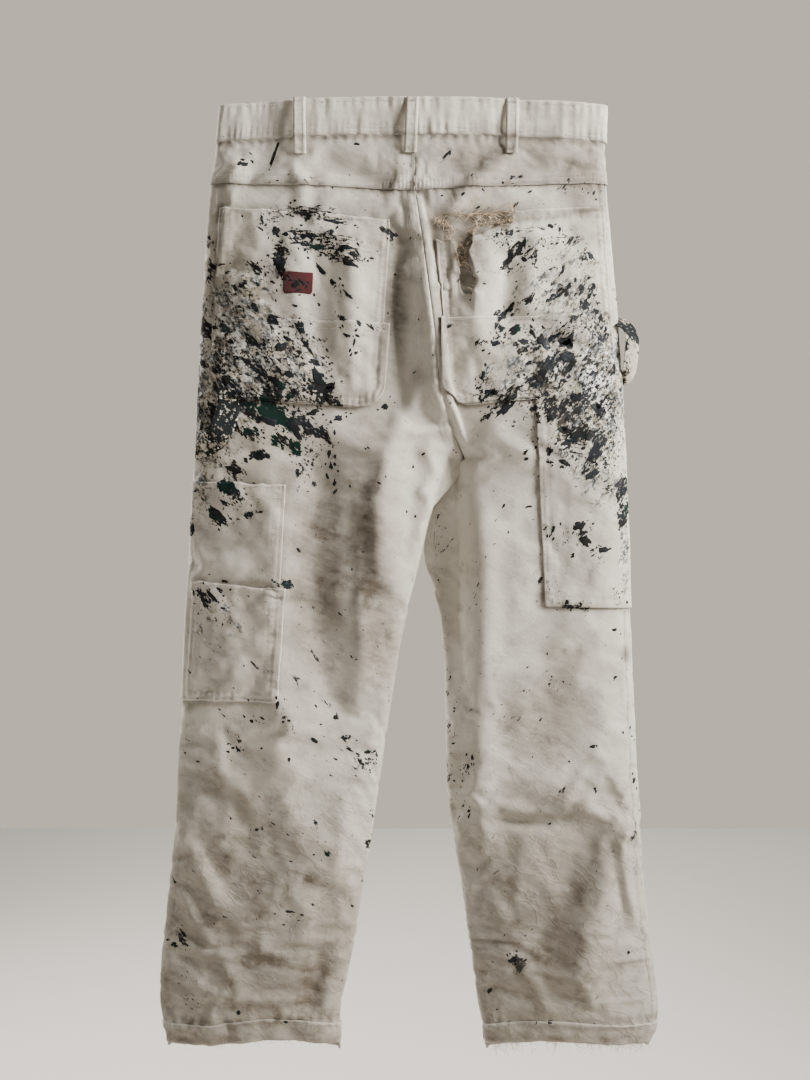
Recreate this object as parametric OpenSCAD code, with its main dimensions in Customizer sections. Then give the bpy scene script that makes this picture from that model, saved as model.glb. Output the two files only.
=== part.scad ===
// Painter's work trousers, hanging by the waistband.
// Origin at the centre of the waistband's top edge. +Z is up, -Y is the seat side and +Y the fly side.

/* [Waist] */
// Width of the closed waistband laid flat
waist_w = 434; // [410:2:460]
// Height of the waistband
band_h = 44; // [38:1:48]
// Plies of the waistband together
band_t = 3; // [2:0.5:3.5]
// Width of a belt loop
loop_w = 14; // [10:1:18]
// Belt loop, top to bottom
loop_h = 66; // [58:1:70]
// Free space under a belt loop
loop_gap = 5.4; // [4.8:0.1:6]
// Diameter of the waist button
button_d = 17; // [15:0.5:20]

/* [Body] */
// Waist to hem along the side
outseam = 1050; // [1000:5:1100]
// Half of the seat's front-to-back depth
seat_depth = 36; // [30:1:44]
// Half of the front-to-back depth at the waist
waist_depth = 14; // [13:0.5:18]
// Thickness of the cloth with its seams
cloth = 1.5; // [1.2:0.1:2]
// Height of the turned-up hem
hem_h = 22; // [16:1:30]

/* [Pockets] */
// Width of a seat pocket
seat_pocket_w = 189; // [165:1:192]
// Height of a seat pocket
seat_pocket_h = 209; // [190:1:212]
// Width of the tool pocket on the left leg
tool_pocket_w = 104; // [90:1:110]
// Width of the rule pocket on the right leg
rule_pocket_w = 98; // [85:1:105]

/* [Fly] */
// Length of the zip's chain
zip_l = 150; // [120:5:155]
// Free travel of the slider along the chain
zip_travel = 132; // [100:2:135]

/* [Hidden] */

LEFT = -1;
RIGHT = 1;
SEAT = -1;
FLY = 1;

kx = waist_w / 434;
kz = outseam / 1050;
air = 0.8;                    // clear space between a sewn-on piece and the cloth under it
swing_z = -410 * kz;          // height of the line that the legs swing about
swing_gap = 8;                // half of the open strip at that line

// Seams as [height, x] at the stations where they change direction.
SIDE_LEFT = [[0, -213], [-50, -217], [-150, -229], [-300, -238], [-450, -245], [-670, -256],
             [-850, -269], [-1000, -281], [-1050, -274]];
SIDE_RIGHT = [[0, 221], [-50, 217], [-100, 219], [-230, 231], [-340, 238], [-470, 244], [-670, 249],
              [-850, 256], [-950, 269], [-1010, 277], [-1050, 270]];
CENTRE_BACK = [[0, 2], [-110, 5], [-230, 20], [-340, 34], [-402, 48]];
CENTRE_FRONT = [[0, 3], [-235, 3], [-340, 26], [-402, 48]];
INSEAM_LEFT = [[-402, 47], [-440, 36], [-480, 20], [-580, -7], [-700, -26], [-830, -45], [-950, -65],
               [-1020, -79], [-1050, -80]];
INSEAM_RIGHT = [[-402, 49], [-440, 42], [-510, 24], [-560, 27], [-675, 35], [-750, 41], [-820, 46],
                [-900, 57], [-1000, 72], [-1050, 86]];
DEPTH = [[0, waist_depth], [-50, waist_depth + 5], [-110, waist_depth + 11], [-200, seat_depth - 2],
         [-400, seat_depth], [-650, seat_depth - 5], [-1050, seat_depth - 9]];

// The two places where a clip hanger pinches front and back together.
GRIPS = [-170, 126];
grip_share = 0.5;             // how much of the depth a clip takes away
grip_reach = 26;              // how far to either side it still does

function mix(a, b, t) = a + (b - a) * t;
function clamp01(t) = max(0, min(1, t));
function smooth(t) = let (c = clamp01(t)) c * c * (3 - 2 * c);
function steps(a, b, n) = [for (i = [0 : n]) mix(a, b, i / n)];

// How far the body has parted into two legs: 0 at the hip, 1 at the crotch.
function parting(z) = smooth((-250 - z / kz) / 152);
function edge_out(side, z) = kx * lookup(z / kz, side == LEFT ? SIDE_LEFT : SIDE_RIGHT);
function edge_in(side, face, z) =
    kx * (z / kz > -402 ? lookup(z / kz, face == SEAT ? CENTRE_BACK : CENTRE_FRONT)
                        : lookup(z / kz, side == LEFT ? INSEAM_LEFT : INSEAM_RIGHT));
function grip(x, at_x) = exp(-pow((x - at_x * kx) / grip_reach, 2));
function pinched(x, z) =
    1 - grip_share * clamp01(1 + z / 120) * (grip(x, GRIPS[0]) + grip(x, GRIPS[1]));
function depth(x, z) = lookup(z / kz, DEPTH) * pinched(x, z);
// Fullness of the section: 1 where it is deepest and 0 at a side seam or an inseam.
function crown(s, k) = pow(max(0, (1 - k) * (1 - s * s) + k * 4 * s * (1 - s)), 0.42);

// A point of the cloth. s runs from the centre seam or inseam (0) to the side seam (1),
// and inset is how far inside the outer face the point lies.
function on_cloth(side, face, s, z, inset) =
    let (
        k = parting(z),
        x = mix(edge_in(side, face, z) + side * inset * k, edge_out(side, z) - side * inset, s),
        d = depth(x, z) * (face == SEAT ? 1 : 0.92)
    )
    [x, face * (d - inset) * crown(s, k), z];
function across(side, face, x, z) =
    clamp01((x - edge_in(side, face, z)) / (edge_out(side, z) - edge_in(side, face, z)));

// Lines across the body, as heights over s.
function band_top(s) = -6 * s * s;
function band_bottom(s) = -band_h - 5 * s * s;
function yoke_seam(s) = -107 * kz + 11 * s;

HIP_S = [0, 0.15, 0.35, 0.55, 0.7, 0.82, 0.92, 0.98, 1];
LEG_S = [0, 0.02, 0.08, 0.2, 0.5, 0.8, 0.92, 0.98, 1];

// A sheet of cloth between an outer and an inner grid of points, both functions of u and v.
module sheet(us, vs, flip, outer, inner) {
    nu = len(us);
    nv = len(vs);
    n = nu * nv;
    points = concat([for (v = vs) for (u = us) outer(u, v)], [for (v = vs) for (u = us) inner(u, v)]);
    function at(i, j) = j * nu + i;
    skin = [for (j = [0 : nv - 2]) for (i = [0 : nu - 2]) each [
        [at(i, j), at(i + 1, j), at(i, j + 1)], [at(i + 1, j), at(i + 1, j + 1), at(i, j + 1)],
        [n + at(i, j), n + at(i, j + 1), n + at(i + 1, j)],
        [n + at(i + 1, j), n + at(i, j + 1), n + at(i + 1, j + 1)]]];
    ends = [for (j = [0 : nv - 2]) each [
        [at(0, j), at(0, j + 1), n + at(0, j)], [at(0, j + 1), n + at(0, j + 1), n + at(0, j)],
        [at(nu - 1, j), n + at(nu - 1, j), at(nu - 1, j + 1)],
        [at(nu - 1, j + 1), n + at(nu - 1, j), n + at(nu - 1, j + 1)]]];
    rims = [for (i = [0 : nu - 2]) each [
        [at(i, 0), n + at(i, 0), at(i + 1, 0)], [at(i + 1, 0), n + at(i, 0), n + at(i + 1, 0)],
        [at(i, nv - 1), at(i + 1, nv - 1), n + at(i, nv - 1)],
        [at(i + 1, nv - 1), n + at(i + 1, nv - 1), n + at(i, nv - 1)]]];
    faces = concat(skin, ends, rims);
    polyhedron(points, flip ? [for (f = faces) [f[0], f[2], f[1]]] : faces, convexity = 8);
}

// A body panel between two lines across it, given as functions of s.
module panel(side, face, ss, rows, top, bottom, thick = cloth) {
    sheet(ss, steps(0, 1, rows), side * face < 0,
        function (s, v) on_cloth(side, face, s, mix(top(s), bottom(s), v), 0),
        function (s, v) on_cloth(side, face, s, mix(top(s), bottom(s), v), thick));
}

// A piece sewn onto a panel: columns from x0 to x1, with its upper and lower edge as functions of x.
// slant is how far the columns move sideways for each unit that they rise.
module patch(side, face, x0, x1, cols, rows, top, bottom, from, thick, slant = 0) {
    function point(x, v, inset) = let (z = mix(top(x), bottom(x), v), at_x = x + slant * (z - top(x)))
        on_cloth(side, face, across(side, face, at_x, z), z, inset);
    sheet(steps(x0, x1, cols), steps(0, 1, rows), face * (x1 - x0) < 0,
        function (x, v) point(x, v, -from - thick), function (x, v) point(x, v, -from));
}

// ---- Waistband and yoke ----

// The band runs from the fly's upper end round the left side, the back and the right side to the fly,
// and ends in an underlap that carries the button.
UNDERLAP = 40;
function band_point(u, z_share, inset) =
    let (
        side = u[0], face = u[1], s = u[2],
        z = mix(band_top(s), band_bottom(s), z_share)
    )
    on_cloth(side, face, s, z, inset + u[3]);
BAND_PATH = concat(
    [for (s = HIP_S) [LEFT, FLY, s, 0]],
    [for (i = [len(HIP_S) - 2 : -1 : 0]) [LEFT, SEAT, HIP_S[i], 0]],
    [for (i = [1 : len(HIP_S) - 1]) [RIGHT, SEAT, HIP_S[i], 0]],
    [for (i = [len(HIP_S) - 2 : -1 : 1]) [RIGHT, FLY, HIP_S[i], 0]],
    [[RIGHT, FLY, 0.02, 0], [LEFT, FLY, 0.02, band_t + air],
     [LEFT, FLY, UNDERLAP / waist_w * 2, band_t + air]]
);

module waistband() color("ivory")
    sheet(BAND_PATH, [0, 0.5, 1], true,
        function (u, v) band_point(u, v, -air), function (u, v) band_point(u, v, band_t - air));

module yoke(side) color("ivory")
    panel(side, SEAT, HIP_S, 2, function (s) band_bottom(s), function (s) yoke_seam(s));

// A belt loop bows away from the band and is tacked at both ends.
module belt_loop(x, face) {
    side = x < edge_in(LEFT, face, 0) ? LEFT : RIGHT;
    function skin(z) = 0.2 + max([for (at_x = [x - loop_w / 2, x, x + loop_w / 2])
        on_cloth(side, face, across(side, face, at_x, z), z, -air)[1] * face]);
    top_y = skin(-1);
    mid_y = max(skin(-loop_h / 2), (skin(0) + skin(-loop_h)) / 2);
    low_y = skin(-loop_h + 2);
    ply = 1.6;
    outline = [
        [top_y, 0], [top_y + loop_gap + ply, 0], [mid_y + loop_gap + ply + 1, -loop_h / 2],
        [low_y + loop_gap + ply, -loop_h], [low_y, -loop_h], [low_y, -loop_h + 4],
        [low_y + loop_gap, -loop_h + 4], [mid_y + loop_gap + 1, -loop_h / 2], [top_y + loop_gap, -4],
        [skin(-4), -4]
    ];
    color("ivory") translate([x - loop_w / 2, 0, 0]) rotate([90, 0, 90]) linear_extrude(loop_w)
        polygon([for (p = outline) [face * p[0], p[1]]]);
}

// ---- Seat, front and legs ----

function hip_end(s) = swing_z + swing_gap;
function leg_start(s) = swing_z - swing_gap;
function hem_line(s) = -outseam + hem_h;

module back_hip(side) color("ivory")
    panel(side, SEAT, HIP_S, 6, function (s) yoke_seam(s), function (s) hip_end(s));

module front_hip(side) color("ivory")
    panel(side, FLY, HIP_S, 7, function (s) band_bottom(s), function (s) hip_end(s));

module leg_panel(side, face) color("ivory")
    panel(side, face, LEG_S, 8, function (s) leg_start(s), function (s) hem_line(s));

// The turned-up hem closes the leg's end as one ring of double cloth.
module hem(side) color("ivory")
    for (face = [SEAT, FLY])
        panel(side, face, LEG_S, 1, function (s) hem_line(s), function (s) -outseam, 2 * cloth);

// ---- Pockets ----

// Height of a lower edge with rounded corners, at distance d from its nearer end.
function rounded(d, r) = d >= r ? 0 : r - sqrt(max(0, r * r - (r - d) * (r - d)));

seat_pocket_r = 30;
seat_pocket_slant = 0.065;    // both side edges lean out of the seat towards their lower end
function seat_pocket_x0(side) = side == LEFT ? -211 * kx : 26 * kx;
function seat_pocket_top(side, x) = (side == LEFT ? -124 - (x - seat_pocket_x0(side)) * 0.085
                                                  : -139 + (x - seat_pocket_x0(side)) * 0.088) * kz;
function seat_pocket_bottom(side, x) =
    seat_pocket_top(side, x) - seat_pocket_h
    + rounded(min(x - seat_pocket_x0(side), seat_pocket_x0(side) + seat_pocket_w - x), seat_pocket_r);

module seat_pocket(side) color("ivory")
    patch(side, SEAT, seat_pocket_x0(side), seat_pocket_x0(side) + seat_pocket_w, 12, 6,
        function (x) seat_pocket_top(side, x), function (x) seat_pocket_bottom(side, x), air, cloth,
        -side * seat_pocket_slant);

// The lower half of a seat pocket carries a second ply.
seat_patch_from = 0.56 * seat_pocket_h;
seat_patch_inset = 2;
module seat_patch(side) color("gainsboro") let (lean = side * seat_pocket_slant * seat_patch_from)
    patch(side, SEAT, seat_pocket_x0(side) + seat_patch_inset + lean,
        seat_pocket_x0(side) + seat_pocket_w - seat_patch_inset + lean, 12, 4,
        function (x) seat_pocket_top(side, x - lean) - seat_patch_from,
        function (x) seat_pocket_bottom(side, x - lean) + 3, 2 * air + cloth, 1,
        -side * seat_pocket_slant);

label_w = 32;
label_h = 23;
module pocket_label() color("firebrick")
    patch(LEFT, SEAT, -140 * kx, -140 * kx + label_w, 2, 1,
        function (x) -199 * kz, function (x) -199 * kz - label_h, 2 * air + cloth, 0.8);

tool_pocket_top = -430 * kz;
tool_pocket_split = -545 * kz;
tool_pocket_end = -672 * kz;
tool_slant = 0.05;            // both side edges follow the slanting side seam
function tool_x0(z) = edge_out(LEFT, z) + 3;

// The tool pocket on the left thigh, and the shorter pen pocket sewn over its lower half.
module tool_pocket_left() color("ivory")
    patch(LEFT, SEAT, tool_x0(tool_pocket_top), tool_x0(tool_pocket_top) + tool_pocket_w, 8, 5,
        function (x) tool_pocket_top, function (x) tool_pocket_end, air, cloth, tool_slant);

module pen_pocket_left() color("ivory")
    patch(LEFT, SEAT, tool_x0(tool_pocket_split), tool_x0(tool_pocket_split) + tool_pocket_w, 8, 3,
        function (x) tool_pocket_split, function (x) tool_pocket_end + 2,
        2 * air + cloth, cloth, tool_slant);

rule_pocket_top = -358 * kz;
rule_pocket_end = -566 * kz;
rule_slant = -0.05;
function rule_x1(z) = edge_out(RIGHT, z) - 5;

// The rule pocket starts under the seat pocket and crosses the line that the leg swings about.
module rule_pocket(top, bottom) color("ivory")
    patch(RIGHT, SEAT, rule_x1(top) - rule_pocket_w, rule_x1(top), 8, 4,
        function (x) top, function (x) bottom, air, cloth, rule_slant);

module front_pocket_bag(side) color("wheat")
    patch(side, FLY, side * 100 * kx, side * 205 * kx, 6, 5,
        function (x) -62 * kz, function (x) -270 * kz, -5, 1.6);

// ---- Loops on the legs ----

strap_w = 26;
strap_t = 2;

// The hammer loop hangs from under the seat pocket's corner and swings out to the side seam.
// Its middle line is a curve over t, from straight down to straight out.
hammer_from = [-199 * kx, -340 * kz];
hammer_bend = [-199 * kx, -392 * kz];
hammer_to = [-237 * kx, -386 * kz];
hammer_bow = 14;
function hammer_at(t) = mix(mix(hammer_from, hammer_bend, t), mix(hammer_bend, hammer_to, t), t);
function hammer_way(t) = let (d = mix(hammer_bend - hammer_from, hammer_to - hammer_bend, t)) d / norm(d);
function hammer_point(u, t, out) =
    let (c = hammer_at(t), w = hammer_way(t), x = c[0] - w[1] * u, z = c[1] + w[0] * u)
    [x, on_cloth(LEFT, SEAT, across(LEFT, SEAT, x, z), z, -air - out)[1] - hammer_bow * sin(180 * t), z];

module hammer_loop() color("gray")
    sheet([-strap_w / 2, 0, strap_w / 2], steps(0, 1, 12), true,
        function (u, t) hammer_point(u, t, strap_t), function (u, t) hammer_point(u, t, 0));

// A short loop that stands out of the right side seam.
module side_loop() color("gray") {
    z0 = -250 * kz;
    x0 = edge_out(RIGHT, z0 - 30) + 1;
    h = 64;
    out = 23;
    translate([x0, strap_w / 2, z0]) rotate([90, 0, 0]) linear_extrude(strap_w)
        polygon([[0, 0], [out * 0.5, -2], [out, -14], [out, -h + 10], [out * 0.7, -h], [1, -h + 8],
                 [1, -h + 8 + strap_t], [out * 0.6, -h + 4 + strap_t], [out - strap_t, -h + 12],
                 [out - strap_t, -15], [out * 0.5, -2 - strap_t], [0, -strap_t]]);
}

// ---- Fly, zip and button ----

fly_x = 3 * kx;
zip_top = -56;
function fly_y(z) = on_cloth(LEFT, FLY, 0, z, 0)[1];
zip_lean = atan2(fly_y(-56 - 150) - fly_y(-56), 150);
zip_depth = 7.6;              // how far the chain's middle lies behind the fly's face

// Places a piece in the zip's own frame: +Y out of the fly, -Z down the chain.
module on_zip() translate([fly_x, fly_y(zip_top) - zip_depth, zip_top]) rotate([zip_lean, 0, 0]) children();

module fly_facing() color("ivory")
    patch(LEFT, FLY, fly_x - 38, fly_x - 1, 3, 4,
        function (x) -54, function (x) -54 - zip_l + rounded(x - fly_x + 38, 30), -3, 1);

module fly_shield() color("ivory") on_zip()
    translate([-26, -5.2, -zip_l - 3]) cube([50, 1.2, zip_l + 3]);

tape_w = 12;
tooth_t = 2.4;
chain_gap = 0.8;              // half of the free line between the two rows of teeth
module zip_tape(side) color("dimgray") on_zip()
    translate([side == LEFT ? -chain_gap - 2.8 - tape_w : chain_gap + 2.8, -0.4, -zip_l])
        cube([tape_w, 0.8, zip_l]);

tooth_pitch = 3.6;
module zip_chain() color("darkgoldenrod") on_zip()
    for (side = [LEFT, RIGHT])
        translate([0, tooth_t / 2, 0]) rotate([90, 0, 0]) linear_extrude(tooth_t)
            polygon(concat(
                [[side * (chain_gap + 2.8), 0], [side * (chain_gap + 2.8), -zip_l + 4]],
                [for (i = [floor((zip_l - 6) / tooth_pitch) : -1 : 0]) each [
                    [side * (chain_gap + 1.4), -i * tooth_pitch - 2.6],
                    [side * chain_gap, -i * tooth_pitch - 2.6],
                    [side * chain_gap, -i * tooth_pitch - 0.8],
                    [side * (chain_gap + 1.4), -i * tooth_pitch - 0.8]]]
            ));

module zip_stops() color("darkgoldenrod") on_zip() {
    translate([-3.5, -1.4, -zip_l]) cube([7, 2.8, 3.4]);
    for (side = [LEFT, RIGHT])
        translate([side * (chain_gap + 4.2) - 1, -1.3, 0.3]) cube([2, 2.6, 3]);
}

slider_w = 9;
slider_l = 11;
plate_t = 0.9;
plate_y = tooth_t / 2 + 0.3;
module zip_slider() color("darkgoldenrod") on_zip() translate([0, 0, -slider_l - 1]) {
    translate([-slider_w / 2, plate_y, 0]) cube([slider_w, plate_t, slider_l]);
    translate([-slider_w / 2, -plate_y - plate_t, 0]) cube([slider_w, plate_t, slider_l]);
    translate([-chain_gap / 2, -plate_y, slider_l - 5]) cube([chain_gap, 2 * plate_y, 4]);
}

module zip_pull() color("darkgoldenrod") on_zip()
    translate([-3, plate_y + plate_t + 0.3, -26]) difference() {
        cube([6, 1, 20]);
        translate([3, -1, 4]) rotate([-90, 0, 0]) cylinder(h = 3, r = 1.6, $fn = 24);
    }

post_r = 2;
button_clear = 0.05;
button_z = -band_h / 2;
// The button's axis runs straight out of the band, where the fly's upper end lies over the underlap.
button_x = fly_x - 14;
button_y = on_cloth(LEFT, FLY, across(LEFT, FLY, button_x, button_z), button_z, -air)[1];
module on_button() translate([button_x, button_y, button_z]) rotate([-90, 0, 0]) children();

module waist_button() color("gray") on_button() difference() {
    union() {
        translate([0, 0, 1.4]) cylinder(h = 2.2, r = button_d / 2 - 1.2, $fn = 64);
        translate([0, 0, 1.8]) cylinder(h = 1.4, r = button_d / 2, $fn = 64);
        translate([0, 0, 0.4]) cylinder(h = 1.2, r = 4.2, $fn = 48);
    }
    translate([0, 0, -1]) cylinder(h = 3.4, r = post_r + button_clear, $fn = 48);
}

// The tack is driven through both ends of the band, and its post runs up into the button.
module button_tack() color("gray") on_button() {
    translate([0, 0, -7.6]) cylinder(h = 9.75, r = post_r, $fn = 48);
    translate([0, 0, -8.2]) cylinder(h = 0.8, r = 4.5, $fn = 48);
}

waistband();
yoke(LEFT);  // yoke_left
yoke(RIGHT);  // yoke_right
back_hip(LEFT);  // back_hip_left
back_hip(RIGHT);  // back_hip_right
front_hip(LEFT);  // front_hip_left
front_hip(RIGHT);  // front_hip_right
leg_panel(LEFT, SEAT);  // back_leg_left
leg_panel(RIGHT, SEAT);  // back_leg_right
leg_panel(LEFT, FLY);  // front_leg_left
leg_panel(RIGHT, FLY);  // front_leg_right
hem(LEFT);  // hem_left
hem(RIGHT);  // hem_right
seat_pocket(LEFT);  // seat_pocket_left
seat_pocket(RIGHT);  // seat_pocket_right
seat_patch(LEFT);  // seat_patch_left
seat_patch(RIGHT);  // seat_patch_right
pocket_label();
tool_pocket_left();
pen_pocket_left();
rule_pocket(rule_pocket_top, swing_z + swing_gap);  // rule_pocket_hip
rule_pocket(swing_z - swing_gap, rule_pocket_end);  // rule_pocket_right
hammer_loop();
side_loop();
belt_loop(2 * kx, SEAT);  // belt_loop_back
belt_loop(-124 * kx, SEAT);  // belt_loop_back_left
belt_loop(113 * kx, SEAT);  // belt_loop_back_right
belt_loop(-86 * kx, FLY);  // belt_loop_front_left
belt_loop(86 * kx, FLY);  // belt_loop_front_right
front_pocket_bag(LEFT);  // front_pocket_bag_left
front_pocket_bag(RIGHT);  // front_pocket_bag_right
fly_facing();
fly_shield();
zip_tape(LEFT);  // zip_tape_left
zip_tape(RIGHT);  // zip_tape_right
zip_chain();
zip_stops();
zip_slider();
zip_pull();
waist_button();
button_tack();
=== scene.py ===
"""Painter's work trousers, hanging by the waistband, seen from the seat side.

Metres, +Z up, -Y out of the seat side, +Y out of the fly side. LEFT is the wearer's left, at -X.
A place on the cloth is in mm: x, and the height z, which is 0 at the waistband's top edge and
negative below it. Or it is given by side, face, s and z, where s runs from the centre seam or the
inseam (0) to the side seam (1).
"""
import math

import bmesh
import bpy
import numpy as np
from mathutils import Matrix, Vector
from mathutils.bvhtree import BVHTree


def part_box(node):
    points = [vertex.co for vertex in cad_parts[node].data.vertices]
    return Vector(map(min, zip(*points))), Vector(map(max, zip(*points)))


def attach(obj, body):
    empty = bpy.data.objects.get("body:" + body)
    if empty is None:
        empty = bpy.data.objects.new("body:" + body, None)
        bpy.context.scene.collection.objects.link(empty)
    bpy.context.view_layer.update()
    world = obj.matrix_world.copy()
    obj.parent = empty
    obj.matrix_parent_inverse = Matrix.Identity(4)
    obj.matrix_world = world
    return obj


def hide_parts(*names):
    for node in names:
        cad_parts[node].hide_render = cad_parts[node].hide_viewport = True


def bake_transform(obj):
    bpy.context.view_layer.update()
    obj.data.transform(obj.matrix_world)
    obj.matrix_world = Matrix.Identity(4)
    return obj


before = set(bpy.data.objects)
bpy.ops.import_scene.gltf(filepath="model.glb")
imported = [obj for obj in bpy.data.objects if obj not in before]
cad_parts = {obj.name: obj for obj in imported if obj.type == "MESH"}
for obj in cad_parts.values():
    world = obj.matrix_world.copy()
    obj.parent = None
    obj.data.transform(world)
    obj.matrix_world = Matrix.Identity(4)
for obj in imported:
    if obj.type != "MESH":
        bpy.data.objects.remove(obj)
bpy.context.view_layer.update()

LEFT, RIGHT = -1, 1
SEAT, FLY = -1, 1
MM = 0.001

# ---------------------------------------------------------------- sizes, as in the CAD model

CROTCH = -402                 # mm
HIP = -250                    # below here, a section turns from a hip's into a leg's, mm
HEM_H = 22                    # mm
CLOTH_T = 1.2                 # one ply of the drill with its seam allowances, mm
GRIPS = (-170, 126)           # where the hanger's clips pinch the band, mm

# ---------------------------------------------------------------- outlines: (height, x) in mm

SIDE_OUT = {
    LEFT: [(0, -213), (-50, -217), (-95, -224), (-150, -229), (-300, -238), (-380, -241), (-450, -246),
           (-560, -251), (-670, -256), (-740, -261), (-790, -262), (-850, -267), (-905, -273),
           (-980, -281), (-1010, -280), (-1040, -274), (-1062, -270)],
    RIGHT: [(0, 219), (-50, 217), (-100, 219), (-230, 231), (-340, 238), (-470, 244), (-560, 245),
            (-660, 249), (-725, 252), (-800, 256), (-890, 261), (-955, 270), (-1010, 277),
            (-1040, 274), (-1062, 262)],
}
CENTRE = {
    SEAT: [(0, 2), (-110, 5), (-230, 21), (-262, 25), (-333, 33), (-377, 48), (-402, 60)],
    FLY: [(0, 3), (-235, 3), (-340, 28), (-402, 60)],
}
INSEAM = {
    LEFT: [(-402, 60), (-416, 56), (-431, 47), (-450, 29), (-469, 21), (-514, 11), (-560, -1),
           (-619, -13), (-700, -26), (-830, -45), (-950, -65), (-1015, -79), (-1062, -80)],
    RIGHT: [(-402, 60), (-416, 44), (-431, 30), (-450, 20), (-480, 15), (-515, 15), (-545, 25),
            (-582, 33), (-632, 38), (-700, 39), (-778, 41), (-809, 45), (-873, 56), (-928, 64),
            (-1009, 75), (-1062, 86)],
}
# Where the back of a leg creases, with the inner side of the leg seen past it: (height, x, share).
CREASE = {
    LEFT: [(-390, 44, 0.0), (-402, 41, 1.0), (-424, 33, 1.0), (-446, 25, 1.0), (-462, 20, 0.0)],
    RIGHT: [(-402, 60, 0.0), (-414, 55, 1.0), (-426, 54, 1.0), (-450, 53, 1.0), (-514, 55, 1.0),
            (-560, 56, 0.9), (-620, 60, 0.5), (-690, 66, 0.0)],
}
# The inseams pass each other in depth: (height, how far the inseam lies towards the fly side).
INSEAM_Y = {
    LEFT: [(-402, 0), (-430, -5), (-520, -4), (-620, 0)],
    RIGHT: [(-402, 0), (-425, 9), (-520, 10), (-640, 5), (-760, 0)],
}
DEPTH = [(0, 14), (-50, 19), (-110, 25), (-200, 33), (-400, 35), (-650, 31), (-1062, 26)]


def table(rows, z, column=1, reach=12):
    """Looks a height (mm) up in an outline, with its corners rounded over reach mm."""
    heights = -np.array([r[0] for r in rows], float)
    values = np.array([r[column] for r in rows], float)
    offsets = (-1, -0.5, 0, 0.5, 1)
    return sum(np.interp(-z + reach * o, heights, values) for o in offsets) / len(offsets)


def smooth(t):
    t = np.clip(t, 0, 1)
    return t * t * (3 - 2 * t)


def bump(d, width):
    return np.exp(-(d / width) ** 2)


def unit(v):
    return v / np.maximum(np.linalg.norm(v, axis=-1, keepdims=True), 1e-12)


def rounded(d, radius):
    """How far a rounded corner cuts in, at a distance d from the edge beside it."""
    return radius - np.sqrt(np.maximum(0, radius ** 2 - (radius - np.minimum(d, radius)) ** 2))


def softened(values, reach):
    """Values averaged with up to reach neighbours on each side."""
    count = 2 * reach + 1
    return np.convolve(np.pad(values, reach, mode="edge"), np.ones(count) / count, "valid")


def running(points):
    """The length of a line of points, up to each of them."""
    return np.concatenate([[0], np.cumsum(np.linalg.norm(np.diff(points, axis=0), axis=1))])


def along_line(line, at):
    """x and z at the given lengths along a line of places."""
    line = np.array(line, float)
    run = running(line)
    return np.interp(at, run, line[:, 0]), np.interp(at, run, line[:, 1])


def vectors(mesh, name="co"):
    """One vector for each vertex of a mesh: its place, or its normal."""
    flat = np.empty(len(mesh.vertices) * 3)
    mesh.vertices.foreach_get(name, flat)
    return flat.reshape(-1, 3)


def add_object(name, data):
    obj = bpy.data.objects.new(name, data)
    bpy.context.scene.collection.objects.link(obj)
    return obj


def leg(side):
    return "left_leg" if side == LEFT else "right_leg"


def word(side):
    return "left" if side == LEFT else "right"


# ---------------------------------------------------------------- noise

class Noise:
    """Smooth random values between -1 and 1 over a plane, the same each run."""

    SIZE = 128

    def __init__(self, seed):
        self.lattice = np.random.RandomState(seed).uniform(-1, 1, (self.SIZE, self.SIZE))

    def __call__(self, x, y):
        x, y = np.broadcast_arrays(np.asarray(x, float), np.asarray(y, float))
        ix, iy = np.floor(x).astype(int), np.floor(y).astype(int)
        fx, fy = smooth(x - ix), smooth(y - iy)
        at = lambda i, j: self.lattice[(ix + i) % self.SIZE, (iy + j) % self.SIZE]
        low = at(0, 0) * (1 - fx) + at(1, 0) * fx
        high = at(0, 1) * (1 - fx) + at(1, 1) * fx
        return low * (1 - fy) + high * fy

    def ridges(self, x, y):
        """Sharp crests on a smooth ground, between 0 and 1."""
        return (1 - np.minimum(1, 2.2 * abs(self(x, y)))) ** 2

    def layers(self, x, y, count=3, fade=0.5):
        total, weight = 0, 1.0
        for i in range(count):
            total = total + weight * self(x * 2 ** i + 17 * i, y * 2 ** i + 31 * i)
            weight *= fade
        return total


noise_a, noise_b, noise_c = Noise(11), Noise(23), Noise(37)

# ---------------------------------------------------------------- folds

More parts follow.
